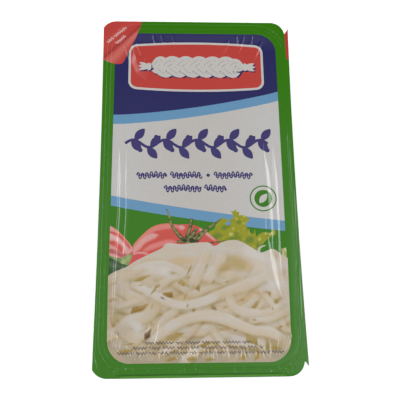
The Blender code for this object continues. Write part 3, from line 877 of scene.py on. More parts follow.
def hidden_threads():
    """Faint threads under the bold ones, mostly rising to the right."""
    draw = random.Random(SEED)
    found = []
    for _ in range(HIDDEN_THREADS):
        heading = math.radians(draw.gauss(22.0, 30.0))
        length = draw.uniform(22.0, 48.0)
        bend = draw.uniform(-0.035, 0.035)
        x = draw.uniform(-44.0, 44.0) - 0.5 * length * math.cos(heading)
        y = draw.uniform(-90.0, -46.0) - 0.5 * length * math.sin(heading)
        heading -= 0.5 * bend * length
        path = []
        for _ in range(7):
            path.append((x, y))
            x += length / 6.0 * math.cos(heading)
            y += length / 6.0 * math.sin(heading)
            heading += length / 6.0 * bend
        body = mix(CHEESE, CHEESE_WHITE, draw.random()) * draw.uniform(0.98, 1.02)
        edge = mix(CHEESE_WARM, THREAD_EDGE, draw.random())
        half = draw.uniform(1.4, 3.2)
        found.append(Stroke(path, half, body, edge, 1.1, 0.10, 0.6, 8.0, mix(body, GLEAM, 0.5)))
    return found


def bold_thread(half, light, *path):
    """A clear thread, with deeper edges and shade the nearer it lies to the foot of the heap."""
    body = mix(CHEESE, STRAND_LIGHT, light)
    edge = mix(body, STRAND_EDGE, 0.75)
    gleam = mix(body, GLEAM, 0.3 + 0.5 * light)
    deep = 0.45 + 0.65 * float(smoothstep((-46.0 - path[0][1]) / 26.0))
    return Stroke(path, 1.15 * half, body, mix(body, edge, deep), 0.9, 0.085 * deep, 0.6, 6.0, gleam)


def heap_paint():
    draw = random.Random(SEED + 3)
    layers = hidden_threads()
    layers += [Patch(draw, *gap) for gap in GAPS]
    layers += [bold_thread(*thread) for thread in BOLD_THREADS]
    layers += [Patch(draw, *gap) for gap in SMALL_GAPS]
    layers += [Stroke(path, half, GLEAM, CHEESE_WHITE, half, 0.0, 0.8, 5.0) for half, *path in SOFT_LIGHTS]
    painted = stroked(heap_ground, layers)

    def paint(x, y):
        colours = painted(x, y)
        warm = 0.30 * smoothstep(0.4 + 0.9 * cloud(x, y, 73, 5.0))
        pale = 0.14 * smoothstep(0.2 + 0.9 * cloud(x, y, 74, 4.0))
        colours = mix(mix(colours, CHEESE_WARM, warm), CHEESE_WHITE, pale)
        # The pictured shades, and a painted highlight for the film's glare near the right edge
        return shaded(colours, x, y, LATE_SHADES_AND_PAINTED_GLARE)
    return paint


# The label, the garland, the waving lines and the leaf mark

def bowed_label(low_x, high_x, low_y, high_y, radius, rise):
    middle_x = 0.5 * (low_x + high_x)
    middle_y = 0.5 * (low_y + high_y)
    half_x = 0.5 * (high_x - low_x)
    half_y = 0.5 * (high_y - low_y)
    result = []
    for x, y in resampled(rounded_rectangle(low_x, high_x, low_y, high_y, radius), 2.0):
        lift = rise * (1.0 - ((x - middle_x) / half_x) ** 2)
        result.append((x, y + math.copysign(lift, y - middle_y) * abs(y - middle_y) / half_y))
    return result


BRAID_PERIOD = 23.0
BRAID_REACH = 4.3
BRAID_HALF = 2.5
BRAID_END = 7.0
BRAID_SHADOW = (0.65, -0.75)
BRAID_GROOVE = (168, 163, 162)
TASSEL_LENGTH = 6.6
TASSEL_REACH = 2.6


def braid_inks(from_x, to_x, y):
    """A three-strand braid: each strand runs over one neighbour, then under the other."""
    quarter = BRAID_PERIOD / 4.0
    layers = ([], [])
    for strand in range(3):
        shift = from_x + BRAID_PERIOD * strand / 3.0
        for k in range(-8, 16):
            low = max(shift + k * quarter - 0.15, from_x)
            high = min(shift + (k + 1) * quarter + 0.15, to_x)
            if high - low < 0.3:
                continue
            path = []
            widths = []
            for i in range(15):
                x = low + (high - low) * i / 14
                fade = smoothstep((x - from_x) / BRAID_END) * smoothstep((to_x - x) / BRAID_END)
                sway = BRAID_REACH * fade * math.sin(2.0 * math.pi * (x - shift) / BRAID_PERIOD)
                path.append((x, y + sway))
                widths.append(BRAID_HALF * (0.5 + 0.5 * fade))
            layers[1 - k % 2].append((path, np.array(widths)))
    inks = []
    for layer in layers:
        for path, widths in layer:
            shadow = [(px + BRAID_SHADOW[0], py + BRAID_SHADOW[1]) for px, py in path[2:-2]]
            inks.append(Ink(ribbon(shadow, widths[2:-2] + 0.1), NAVY))
        for path, widths in layer:
            inks.append(Ink(ribbon(path, widths), PAPER_WHITE))
            inks.append(Ink(ribbon(path[2:-2], 0.12 * widths[2:-2]), BRAID_GROOVE))
    return inks + tassel_inks(from_x, y, -1) + tassel_inks(to_x, y, 1)


def tassel_inks(end_x, y, side):
    """A knot with three loose ends, over its own shadow."""
    inks = []
    for colour, shift_x, shift_y in ((NAVY, *BRAID_SHADOW), (PAPER_WHITE, 0.0, 0.0)):
        for turn in (-24.0, 24.0, 0.0):
            middle_x = end_x + side * TASSEL_REACH * math.cos(math.radians(turn))
            middle_y = y + TASSEL_REACH * math.sin(math.radians(turn))
            strand = placed(lobe(TASSEL_LENGTH, 1.15), middle_x + shift_x, middle_y + shift_y, side * turn)
            inks.append(Ink(strand, colour))
        inks.append(Ink(placed(ellipse(1.5, 2.4, 20), end_x + shift_x, y + shift_y), colour))
    return inks


LABEL = (-39.0, 38.0, 57.2, 85.0)
LABEL_FACE = (-37.7, 36.7, 58.5, 83.7)
LABEL_RISE = 1.8


def label_inks():
    """A plain red label with a white rim and a white braid on it."""
    rim = bowed_label(*LABEL, 4.5, LABEL_RISE)
    face = bowed_label(*LABEL_FACE, 3.5, LABEL_RISE)
    return [Ink(rim, PAPER_WHITE), Ink(face, RED)] + braid_inks(-27.5, 27.5, 71.1)


GARLAND_SWAY = 2.2
GARLAND_LEAVES = 9
GARLAND_LEAF = (8.8, 2.3)
LEAF_REACH = 4.2
LEAF_TILT = 52.0


def garland_inks(from_x, to_x, y, colour):
    """A leafy garland: a waving stem with leaves and berries."""
    pitch = (to_x - from_x) / GARLAND_LEAVES

    def stem_y(x):
        return y + GARLAND_SWAY * math.sin((x - from_x) / pitch * math.pi)

    inks = [Ink(ribbon(curve_points(stem_y, 0.0, from_x, to_x, 90), [0.8] * 91), colour)]
    for i in range(GARLAND_LEAVES):
        x = from_x + pitch * (i + 0.5)
        for side in (1, -1):
            root_x = x + side * 0.1 * pitch
            tilt = math.radians(side * LEAF_TILT)
            middle = (root_x + LEAF_REACH * math.cos(tilt), stem_y(root_x) + LEAF_REACH * math.sin(tilt))
            inks.append(Ink(placed(lobe(*GARLAND_LEAF), *middle, side * LEAF_TILT), colour))
        berry_x = x + 0.45 * pitch
        side = 1 if i % 2 else -1
        inks.append(Ink(placed(ellipse(1.3, 1.3), berry_x, stem_y(berry_x) + side * LEAF_REACH), colour))
    return inks


def squiggle_ink(from_x, to_x, y, colour, pitch=2.4, height=1.8, half=0.6, turn_deg=0.0):
    """A waving line of uneven height."""
    count = round((to_x - from_x) / (0.08 * pitch))
    path = []
    for i in range(count + 1):
        x = (to_x - from_x) * i / count
        tall = 0.78 + 0.3 * math.sin(5.1 * (from_x + x) / pitch)
        path.append((x, height * tall * math.sin(2.0 * math.pi * x / pitch)))
    return Ink(placed(ribbon(path, [half] * len(path)), from_x, y, turn_deg), colour, 0.6)


# Waving lines under the garland: from x, to x, y
WAVES = (
    (-33.3, -17.5, 5.6), (-15.0, 1.6, 5.6), (8.6, 29.1, 5.6), (-18.4, 1.0, -1.9), (3.4, 14.7, -1.9),
)
WAVES_DOT = (5.2, 5.6)
FOOT_WAVES = ((-27.9, 26.1, -83.0), (-33.8, 31.6, -85.5), (-41.7, 41.5, -88.0))
FOOT_WAVE_GAP = 1.1


def wave_inks():
    """Two rows of waving lines and a dot, under the garland."""
    inks = [squiggle_ink(*line, GARLAND_NAVY) for line in WAVES]
    inks.append(Ink(placed(ellipse(1.0, 1.0, 16), *WAVES_DOT), GARLAND_NAVY, 0.6))
    return inks


def seal_mark_inks(x, y):
    """A plain green ring round a disc with a leaf on it."""
    inks = [Ink(placed(ellipse(radius, radius, 40), x, y), colour, 0.8)
            for radius, colour in ((7.3, GREEN), (6.6, PAPER_WHITE), (4.8, GREEN))]
    inks.append(Ink(placed(lobe(6.6, 1.7), x, y, 50.0), PAPER_WHITE, 0.8))
    return inks


def foot_wave_inks():
    """Three rows of little waving lines of uneven length, near the foot."""
    draw = random.Random(SEED + 1)
    inks = []
    for from_x, to_x, y in FOOT_WAVES:
        x = from_x
        while x < to_x - 1.5:
            length = min(draw.uniform(3.0, 9.0), to_x - x)
            inks.append(squiggle_ink(x, x + length, y, FOOT_WAVE_GREY, 1.6, 0.66, 0.2))
            x += length + FOOT_WAVE_GAP
    return inks


PEEL_FOLD = ((-53.6, 75.9), (-31.6, 98.4))
PEEL_EDGE = ((-31.3, 101.0), (-34.5, 91.0), (-38.2, 82.6), (-41.4, 74.9), (-42.7, 72.9), (-45.0, 72.2),
             (-48.4, 72.8), (-51.5, 74.2), (-55.0, 75.6))
PEEL_DEEP_RED = (186, 72, 66)
# Waving lines on the peel corner: x, y, length
PEEL_LINES = ((-51.2, 86.0, 4.6), (-47.4, 89.8, 9.0), (-46.4, 85.4, 7.4))
SLIVER = ((51.6, 76.1), (55.0, 76.1), (55.0, 98.0), (51.3, 98.0), (51.3, 88.0))
SLIVER_RED = (170, 56, 54)


def fold_distance(x, y):
    """Distance below and right of the pictured fold of the peel corner."""
    (x0, y0), (x1, y1) = PEEL_FOLD
    length = math.hypot(x1 - x0, y1 - y0)
    return ((x - x0) * (y1 - y0) - (y - y0) * (x1 - x0)) / length


def peel_paint(x, y):
    """Red, with a dark fold, a pale roll beside it and deeper red towards the roll's outer edge."""
    depth = fold_distance(x, y)
    low_end = smoothstep((90.0 - y) / 16.0)
    glow = bump((depth - 2.6 - 1.6 * low_end) / (2.4 + 2.6 * low_end))
    colour = mix(RED, RED_CURL, glow * (depth > 0.0))
    dark = np.where(depth > 0.0, bump(depth / 1.3), 0.55 * bump(depth / 1.5))
    colour = mix(colour, RED_FOLD, 0.8 * dark)
    return mix(colour, PEEL_DEEP_RED, 0.5 * bump((depth + 6.0) / 5.0))


def peel_inks():
    """A red corner with a pictured curl and three slanted waving lines."""
    outline = smooth_path(PEEL_EDGE, 6) + [(-55.0, 102.0), (-31.3, 102.0)]
    (x0, y0), (x1, y1) = PEEL_FOLD
    path = [(x0 + (x1 - x0) * i / 30, y0 + (y1 - y0) * i / 30) for i in range(31)]
    inks = [Ink(outline, peel_paint, 0.7), Ink(ribbon(path, [1.4] * len(path)), peel_paint, 0.6, outline)]
    for x, y, length in PEEL_LINES:
        inks.append(squiggle_ink(x, x + length, y, PEEL_MARK, 1.5, 0.85, 0.3, 45.0))
    return inks


# Stretches of the painted shade line and the painted highlight line at the foot as from x, to x, half width; then each
# line's y, stretches and colour
FOOT_SHADES = ((-42.0, -12.0, 0.42), (-14.5, 8.0, 0.46), (5.0, 30.0, 0.40), (27.0, 42.5, 0.32))
FOOT_HIGHLIGHTS = ((-40.0, -29.5, 0.36), (-31.0, -2.5, 0.42), (-4.5, 17.5, 0.44), (14.0, 42.0, 0.42))
FOOT_ROWS = ((-98.45, FOOT_SHADES, FOOT_SHADE), (-99.3, FOOT_HIGHLIGHTS, FOOT_HIGHLIGHT))


def foot_inks():
    """A painted shade line and a painted highlight line where the film's foot is bent down over the flange."""
    inks = []
    for row_y, stretches, colour in FOOT_ROWS:
        for from_x, to_x, half in stretches:
            middle = (from_x + to_x) / 2.0
            line = smooth_path(((from_x, row_y - 0.1), (middle, row_y + 0.05), (to_x, row_y)), 12)
            taper = np.sin(np.linspace(0.06, 0.94, len(line)) * math.pi) ** 0.4
            inks.append(Ink(ribbon(line, half * taper), colour, 1.0))
    return inks


# Pictured tomatoes and salad leaf behind the heap

TOMATO_SHADE = (166, 84, 84)
TOMATO_DEEP = (196, 76, 78)
TOMATO_GLOW = (206, 166, 162)
LEFT_TOMATO_RIM = (206, 118, 96)
RIGHT_TOMATO_RIM = (206, 120, 92)


def tomato_inks():
    """Two tomatoes and a sliver of a third, with soft bands of light along their rims."""
    left = smooth_path([(-50.0, -21.5), (-46.9, -22.7), (-43.7, -24.5), (-39.0, -29.1), (-35.1, -34.4),
                        (-36.5, -37.4), (-41.0, -39.8), (-50.0, -39.0)], 5, True)
    left_bands = [
        Stroke(((-49.0, -27.4), (-43.6, -29.2), (-40.4, -32.0), (-38.0, -36.0)),
               1.5, TOMATO_GLOW, TOMATO_PALE, 1.4),
        Stroke(((-49.0, -25.4), (-43.6, -27.2), (-40.6, -29.2), (-37.9, -32.2), (-36.2, -35.4)),
               0.9, TOMATO, TOMATO_PINK, 0.9),
        Stroke(((-49.0, -31.2), (-44.4, -32.4), (-41.6, -34.6), (-40.0, -37.6)),
               1.4, TOMATO, TOMATO_PINK, 1.0, 0.0, 0.1),
        Stroke(((-49.0, -35.8), (-44.0, -36.8), (-40.6, -38.6), (-37.2, -38.6)),
               1.3, TOMATO_SHADE, TOMATO_PINK, 1.6),
        Stroke(((-46.0, -22.9), (-43.4, -24.9), (-39.2, -29.5), (-35.4, -34.6)),
               0.45, LEFT_TOMATO_RIM, None, 0.5),
    ]
    right = smooth_path([(-36.0, -38.5), (-35.2, -34.1), (-33.3, -31.2), (-30.3, -27.8), (-27.0, -24.7),
                         (-23.7, -22.6), (-20.0, -21.6), (-16.4, -21.3), (-11.3, -22.0), (-5.4, -21.8),
                         (-0.2, -23.3), (2.0, -24.8), (4.9, -26.7), (7.1, -29.0), (9.7, -30.9),
                         (8.1, -35.3), (-14.0, -44.0)], 4, True)
    right_bands = [
        Stroke(((-34.2, -34.6), (-31.3, -30.0), (-28.0, -27.0), (-24.0, -24.4), (-17.0, -22.9), (-8.0, -23.4)),
               1.5, TOMATO_PINK, None, 1.4),
        Stroke(((-34.9, -37.3), (-31.9, -33.2), (-28.7, -30.4), (-25.0, -28.4), (-22.0, -27.8)),
               1.8, TOMATO_PALE, TOMATO_PINK, 1.3),
        Stroke(((-30.2, -36.8), (-26.3, -34.6), (-22.7, -33.2), (-17.0, -31.6), (-10.0, -31.2)),
               1.3, TOMATO_PINK, None, 1.6),
        Stroke(((-11.0, -23.2), (-7.6, -24.0)),
               1.2, TOMATO_PALE, None, 1.4),
        Stroke(((-0.4, -24.2), (2.0, -25.7), (4.9, -27.7), (9.0, -31.4)),
               0.8, TOMATO_PALE, None, 0.9),
        Stroke(((-34.6, -35.0), (-30.3, -28.4), (-23.7, -23.1), (-16.4, -21.7)),
               0.4, RIGHT_TOMATO_RIM, None, 0.5),
    ]
    small = smooth_path([(-35.2, -37.6), (-33.2, -36.8), (-29.9, -36.6), (-26.0, -37.6), (-28.0, -42.0),
                         (-36.6, -45.5)], 5, True)
    small_bands = [
        Stroke(((-35.0, -37.9), (-33.0, -37.1), (-29.9, -36.9), (-26.6, -37.9)),
               0.6, TOMATO_PALE, None, 0.6),
    ]
    return [
        Ink(right, stroked(flat(TOMATO), right_bands), 0.8),
        Ink(small, stroked(flat(TOMATO_DEEP), small_bands), 0.8),
        Ink(left, stroked(flat(TOMATO_PALE), left_bands), 0.8),
    ]


CALYX_OLIVE = (104, 128, 74)
CALYX_SHADE = (42, 74, 44)
CALYX_SOFT = (74, 96, 62)
CALYX_ARMS = (
    (((-7.6, -30.9), (-11.7, -26.7), (-14.8, -21.8), (-15.8, -17.4), (-17.5, -13.4)), 1.25, 0.25),
    (((-7.0, -30.6), (-5.6, -26.0), (-4.6, -22.5), (-4.1, -18.7)), 1.2, 0.75),
    (((-5.0, -30.9), (-0.6, -27.6), (2.7, -25.4), (6.5, -22.7), (10.6, -19.8)), 1.2, 0.35),
    (((-5.8, -31.0), (-3.6, -27.5), (-1.4, -24.0)), 1.5, 0.8),
    (((-12.0, -31.2), (-8.0, -31.3), (-2.0, -31.7)), 0.7, 0.6),
    (((-2.0, -31.3), (1.2, -28.0), (4.6, -24.8)), 1.1, 0.4),
    (((-0.6, -32.4), (3.4, -32.0), (8.2, -31.7), (13.4, -30.9)), 0.45, 0.25),
)


def mottled(first, second, level, spread, seed, size):
    """A paint that wanders between two colours."""
    return lambda x, y: mix(first, second, smoothstep(level + spread * cloud(x, y, seed, size)))


def arm_paint(path, half):
    """Dark with a lighter, broken middle."""
    middle = Stroke(path, half, CALYX_LIGHT, CALYX_DARK, 0.5, 0.0, 0.4)
    painted = stroked(flat(CALYX_DARK), [middle])

    def paint(x, y):
        return mix(painted(x, y), CALYX_DARK, 0.75 * smoothstep(0.2 + 0.9 * cloud(x, y, 85, 1.1)))
    return paint


def tapered(path, root_half, tip_half, steps=8):
    """A band that narrows from its first point to its last."""
    line = smooth_path(path, steps)
    return ribbon(line, np.linspace(root_half, tip_half, len(line)))


def calyx_inks():
    """The green stalk over the tomatoes: a pale and a dark field, seven arms and a knot."""
    pale = smooth_path([(-48.0, -38.4), (-43.3, -39.6), (-40.4, -39.6), (-37.8, -38.4), (-35.0, -37.7),
                        (-35.3, -39.8), (-36.9, -43.0), (-39.5, -44.0), (-48.0, -41.0)], 5, True)
    dark = smooth_path([(-48.0, -39.9), (-43.3, -41.0), (-40.3, -42.8), (-37.5, -43.6), (-37.2, -46.0),
                        (-48.0, -49.0)], 5, True)
    inks = [
        Ink(pale, mottled(CALYX_PALE, CALYX_OLIVE, 0.4, 0.7, 82, 2.0), 0.8),
        Ink(dark, mottled(CALYX_SHADE, CALYX_SOFT, 0.4, 0.7, 83, 2.2), 0.8),
    ]
    for path, root_half, tip_half in CALYX_ARMS:
        inks.append(Ink(tapered(path, root_half, tip_half), arm_paint(path, 0.62 * root_half), 0.6))
    knot = placed(ellipse(4.2, 2.0, 24), -5.8, -30.4)
    inks.append(Ink(knot, mottled(CALYX_DARK, CALYX_LIGHT, 0.35, 0.75, 81, 1.6), 0.6))
    return inks


LEAF_EDGE = (
    (3.0, -29.0), (5.0, -26.0), (7.9, -24.5), (8.7, -22.5), (11.0, -18.7), (13.3, -18.4), (15.2, -19.6), (17.2, -19.1),
    (18.5, -17.6), (16.9, -14.5), (18.3, -14.9), (19.2, -13.7), (20.1, -14.9), (21.4, -15.3), (21.2, -16.9),
    (24.2, -17.0), (25.4, -17.8), (27.3, -19.1), (25.6, -20.3), (24.7, -22.2), (25.3, -23.8), (26.5, -24.7),
    (26.8, -26.4), (28.6, -27.4), (29.4, -24.6), (29.9, -28.8), (31.4, -27.4), (33.1, -26.5), (35.4, -26.1),
    (37.2, -26.9), (39.1, -25.7), (39.2, -24.4), (40.4, -24.8), (40.8, -26.9), (39.6, -28.0), (37.9, -28.4),
    (36.5, -29.7), (34.8, -31.0), (32.9, -33.3), (30.9, -34.8), (28.6, -37.6), (21.7, -36.1), (8.7, -35.5),
)


LEAF_OLIVE = (162, 158, 52)
LEAF_HOLLOWS = ((13.2, -23.7, 2.4, 1.8), (26.5, -30.6, 3.6, 2.6), (18.0, -29.6, 6.0, 1.4), (9.0, -28.5, 3.4, 2.6))
LEAF_LIGHTS = (
    (17.8, -24.3, 0.8), (16.6, -27.3, 1.7), (20.0, -19.2, 0.8), (23.5, -21.4, 0.8),
    (24.0, -17.6, 0.9), (35.2, -27.2, 1.2), (37.6, -27.0, 1.5), (31.6, -30.2, 1.3),
)
NUB = ((42.6, -35.4), (46.0, -34.6), (46.0, -41.0), (43.6, -39.0))
NUB_GREEN = (150, 156, 96)
NUB_PALE = (190, 184, 150)


def leaf_paint(x, y):
    colours = mix(LEAF, LEAF_DARK, smoothstep(0.8 * cloud(x, y, 51, 2.6) - 0.1))
    colours = mix(colours, LEAF_OLIVE, 0.6 * smoothstep(0.8 * cloud(x, y, 52, 1.8)))
    colours = shaded(colours, x, y, [(*oval, 10.0, 0.9, LEAF_DARK) for oval in LEAF_HOLLOWS])
    lights = [(spot_x, spot_y, size, 0.8 * size, 30.0, 0.8, LEAF_LIGHT) for spot_x, spot_y, size in LEAF_LIGHTS]
    return shaded(colours, x, y, lights)


def leaf_inks():
    """A frilled salad leaf with a hole, and the end of another at the right."""
    hole = placed(ellipse(1.5, 1.0, 14), 15.4, -21.4, 20.0)
    nub_paint = mottled(NUB_GREEN, NUB_PALE, 0.5, 1.0, 84, 1.5)
    return [Ink(LEAF_EDGE, leaf_paint, 0.6), Ink(hole, LIGHT_BLUE, 0.6), Ink(NUB, nub_paint, 0.6)]


CURL = ((31.0, -37.4), (31.2, -35.4), (32.4, -34.2), (34.9, -33.4))


def print_inks():
    """Every ink from the bottom layer to the top one, and the outlines that clip some of them."""
    window = window_outline()
    inks = [
        Ink(navy_field(), NAVY),
        Ink(field_between(navy_edge, 0.0, navy_edge, -BAND_WIDTH), LIGHT_BLUE),
        Ink(field_between(navy_edge, -BAND_WIDTH, blue_edge, 0.0), paper_paint),
        Ink(field_between(blue_edge, 0.0, blue_edge, -BAND_WIDTH), LIGHT_BLUE),
    ]
    for ink in leaf_inks() + tomato_inks() + calyx_inks():
        ink.closed_in = window
        inks.append(ink)
    inks.append(Ink(heap_outline(), heap_paint(), 0.8))
    inks.append(Ink(tapered(CURL, 0.9, 0.2), CHEESE_WHITE, 0.6))
    inks += foot_wave_inks()
    inks += label_inks()
    inks += garland_inks(-40.0, 38.5, 24.0, GARLAND_NAVY)
    inks += wave_inks()
    inks += seal_mark_inks(34.6, -7.6)
    inks += peel_inks()
    # Painted shade and painted highlight lines along the film's foot
    inks += foot_inks()
    # A red sliver along the right edge, near the head
    inks.append(Ink(SLIVER, SLIVER_RED, 0.8))
    return inks


# Film mesh

OUTLINE_SPACING = 0.9
FIELD_SPACING = 0.9
PICTURE_SPACING = 0.52
PICTURE_TOP = -12.0
GRID_REACH = (47.4, 94.0)
BAND_SPACING = 0.9
BAND_STEP = 0.28
SEAL_LINES = 27
SEAL_MARGIN = 1.2
SEAL_WIDTH = 2.6
CLEAR_OF_INK = 0.24
FILM_DEPTH = 0.66
RIM_SHADE = 0.9


def seal_points():
    """Points in lines along the seal, close enough across it for its steps and beads."""
    points = []
    for i in range(SEAL_LINES):
        grow = -SEAL_MARGIN + BAND_STEP * i
        share = (grow + SEAL_MARGIN) / (BAND_STEP * (SEAL_LINES - 1))
        blend = [inner * (1.0 - share) + outer * share for inner, outer in zip(SEAL_INNER, SEAL_OUTER)]
        low_x, high_x, low_y, high_y, radius = blend
        spread = grow - share * SEAL_WIDTH
        sides = (low_x - spread, high_x + spread, low_y - spread, high_y + spread)
        points += resampled(rounded_rectangle(*sides, radius + spread, 24), BAND_SPACING)
    return points


def grid_points(low_y, high_y, spacing):
    """Rows of points, every second row shifted by half a step."""
    reach = GRID_REACH[0]
    columns = round(2 * reach / spacing)
    rows = round((high_y - low_y) / spacing)
    points = []
    for j in range(rows + 1):
        y = low_y + (high_y - low_y) * j / rows
        shift = (0.25 if j % 2 else -0.25) * spacing
        points += [(-reach + 2 * reach * i / columns + shift, y) for i in range(columns + 1)]
    return points


def sheet_points(outline, inks):
    """All points and the edges that the triangles have to follow."""
    points = []
    edges = []
    for loop in [outline] + [ink.outline for ink in inks]:
        first = len(points)
        points += loop
        edges += [(first + i, first + (i + 1) % len(loop)) for i in range(len(loop))]
    tree = KDTree(len(points))
    for i, (x, y) in enumerate(points):
        tree.insert((x, y, 0.0), i)
    tree.balance()
    reach_y = GRID_REACH[1]
    extra = seal_points() + [point for ridge in RIDGES for point in ridge.lines()]
    extra += grid_points(-reach_y, PICTURE_TOP, PICTURE_SPACING)
    extra += grid_points(PICTURE_TOP + FIELD_SPACING, reach_y, FIELD_SPACING)
    ex = np.array([p[0] for p in extra])
    ey = np.array([p[1] for p in extra])
    keep = inside(outline, ex, ey)
    for (x, y), kept in zip(extra, keep):
        if kept and tree.find((x, y, 0.0))[2] > CLEAR_OF_INK:
            points.append((x, y))
    return points, edges


def painted_faces(inks, verts, faces):
    """The sRGB colour of each corner of each triangle, from the topmost ink over the triangle."""
    centre = verts[faces].mean(1)
    colours = np.tile(np.asarray(GREEN, float), (len(faces), 3, 1))
    owner = np.full(len(faces), -1)
    clips = {}
    for i, ink in enumerate(inks):
        covered = inside(ink.outline, centre[:, 0], centre[:, 1])
        if ink.closed_in is not None:
            key = id(ink.closed_in)
            if key not in clips:
                clips[key] = inside(ink.closed_in, centre[:, 0], centre[:, 1])
            covered &= clips[key]
        owner[covered] = i
    for i, ink in enumerate(inks):
        mine = np.nonzero(owner == i)[0]
        if len(mine):
            corners, back = np.unique(faces[mine].ravel(), return_inverse=True)
            painted = np.array(ink.paint(verts[corners, 0], verts[corners, 1]), float)
            colours[mine] = painted[back.ravel()].reshape(-1, 3, 3)
    return colours


def make_film():
    """The printed sheet with its relief, its colours and a thin rim."""
    outline = resampled(cut_outline(), OUTLINE_SPACING)
    inks = print_inks()
    points, edges = sheet_points(outline, inks)
    made, _, triangles, _, _, _ = delaunay_2d_cdt(points, edges, [], 0, 0.0001)
    verts = np.array([(v.x, v.y) for v in made])
    faces = np.array(triangles)
    centre = verts[faces].mean(1)
    faces = faces[inside(outline, centre[:, 0], centre[:, 1])]
    used = np.unique(faces)
    renumber = np.zeros(len(verts), int)
    renumber[used] = np.arange(len(used))
    verts, faces = verts[used], renumber[faces]
    colours = painted_faces(inks, verts, faces)
    height = PACK_HEIGHT + film_relief(verts[:, 0], verts[:, 1])
    top = np.column_stack([verts, height])
    rim = rim_loop(faces)
    low = top[rim] - (0.0, 0.0, FILM_DEPTH)
    first_low = len(top)
    sides = []
    for i in range(len(rim)):
        j = (i + 1) % len(rim)
        sides.append((rim[i], first_low + i, first_low + j))
        sides.append((rim[i], first_low + j, rim[j]))
    all_faces = [tuple(int(v) for v in f) for f in faces] + sides
    mesh = bpy.data.meshes.new("printed_film")
    mesh.from_pydata([tuple(p * MM) for p in np.vstack([top, low])], [], all_faces)
    mesh.update()
    mesh.shade_smooth()
    normals = film_normals(verts[:, 0], verts[:, 1])[faces].reshape(-1, 3)
    edge_normals = []
    for i in range(len(rim)):
        step = top[rim[(i + 1) % len(rim)]] - top[rim[i]]
        edge_normals += [(step[1], -step[0], 0.0)] * 6
    mesh.normals_split_custom_set([Vector(n).normalized() for n in np.vstack([normals, edge_normals])])
    ink = mesh.color_attributes.new("ink", "FLOAT_COLOR", "CORNER")
    rim_colour = np.tile(np.asarray(GREEN, float) * RIM_SHADE, (len(sides), 3, 1))
    srgb = np.concatenate([colours, rim_colour]).reshape(-1, 3)
    rgba = np.column_stack([linear(srgb) * INK_GAIN, np.ones(len(srgb))])
    ink.data.foreach_set("color", rgba.astype(np.float32).ravel())
    film = bpy.data.objects.new("printed_film", mesh)
    bpy.context.scene.collection.objects.link(film)
    mesh.materials.append(film_material())
    return film


def rim_loop(faces):
    """The outer boundary of the sheet as one ordered loop, counter-clockwise seen from above."""
    pairs = {}
    for a, b, c in faces:
        for start, end in ((a, b), (b, c), (c, a)):
            pairs[(int(start), int(end))] = True
    following = {b: a for a, b in pairs if (b, a) not in pairs}
    start = next(iter(following))
    loop = [start]
    while following[loop[-1]] != start:
        loop.append(following[loop[-1]])
    return loop[::-1]


# Materials

class Shader:
    """A Principled material with short calls for its nodes."""

    def __init__(self, name):
        self.material = bpy.data.materials.new(name)
        self.material.use_nodes = True
        self.tree = self.material.node_tree
        self.surface = self.tree.nodes["Principled BSDF"]

    def set(self, **values):
        for name, value in values.items():
            self.surface.inputs[name.replace("_", " ")].default_value = value

    def node(self, kind, **inputs):
        made = self.tree.nodes.new(kind)
        for name, value in inputs.items():
            made.inputs[name.replace("_", " ")].default_value = value
        return made

    def link(self, source, target):
        self.tree.links.new(source, target)

    def feed(self, name, source):
        self.link(source, self.surface.inputs[name])

    def noise(self, scale, detail=2.0, stretch=(1.0, 1.0, 1.0)):
        place = self.node("ShaderNodeTexCoord")
        mapping = self.node("ShaderNodeMapping", Scale=stretch)
        noise = self.node("ShaderNodeTexNoise", Scale=scale, Detail=detail)
        self.link(place.outputs["Object"], mapping.inputs["Vector"])
        self.link(mapping.outputs["Vector"], noise.inputs["Vector"])
        return noise.outputs["Fac"]

    def ranged(self, value, low, high, from_low=0.3, from_high=0.7):
        ranged = self.node("ShaderNodeMapRange", From_Min=from_low, From_Max=from_high, To_Min=low, To_Max=high)
        self.link(value, ranged.inputs["Value"])
        return ranged.outputs["Result"]

    def bump(self, value, distance, strength=1.0, under=None):
        bump_node = self.node("ShaderNodeBump", Strength=strength, Distance=distance)
        self.link(value, bump_node.inputs["Height"])
        if under is not None:
            self.link(under, bump_node.inputs["Normal"])
        return bump_node.outputs["Normal"]


def film_material():
    shader = Shader("printed_film")
    ink = shader.node("ShaderNodeAttribute")
    ink.attribute_name = "ink"
    mottle = shader.ranged(shader.noise(900.0, 3.0), 0.97, 1.03)
    tone = shader.node("ShaderNodeVectorMath")
    tone.operation = "SCALE"
    shader.link(ink.outputs["Color"], tone.inputs[0])
    shader.link(mottle, tone.inputs["Scale"])
    shader.feed("Base Color", tone.outputs["Vector"])
    shader.feed("Roughness", shader.ranged(shader.noise(55.0, 3.0, (1.0, 0.25, 1.0)), 0.11, 0.16))
    broad = shader.bump(shader.noise(90.0, 1.0, (1.0, 0.12, 1.0)), 0.0002, 0.3)
    fine = shader.bump(shader.noise(1400.0, 1.0), 0.000006, 0.3, broad)
    shader.feed("Normal", fine)
    shader.set(Specular_IOR_Level=0.5)
    return shader.material


def tray_material():
    shader = Shader("tray_white")
    ramp = shader.node("ShaderNodeMix")
    ramp.data_type = "RGBA"
    ramp.inputs["A"].default_value = (0.52, 0.52, 0.50, 1.0)
    ramp.inputs["B"].default_value = (0.545, 0.545, 0.525, 1.0)
    shader.link(shader.noise(35.0, 3.0), ramp.inputs["Factor"])
    shader.feed("Base Color", ramp.outputs["Result"])
    shader.feed("Roughness", shader.ranged(shader.noise(60.0, 2.0), 0.30, 0.36))
    shader.feed("Normal", shader.bump(shader.noise(260.0, 2.0), 0.00002, 0.3))
    return shader.material


# Stage

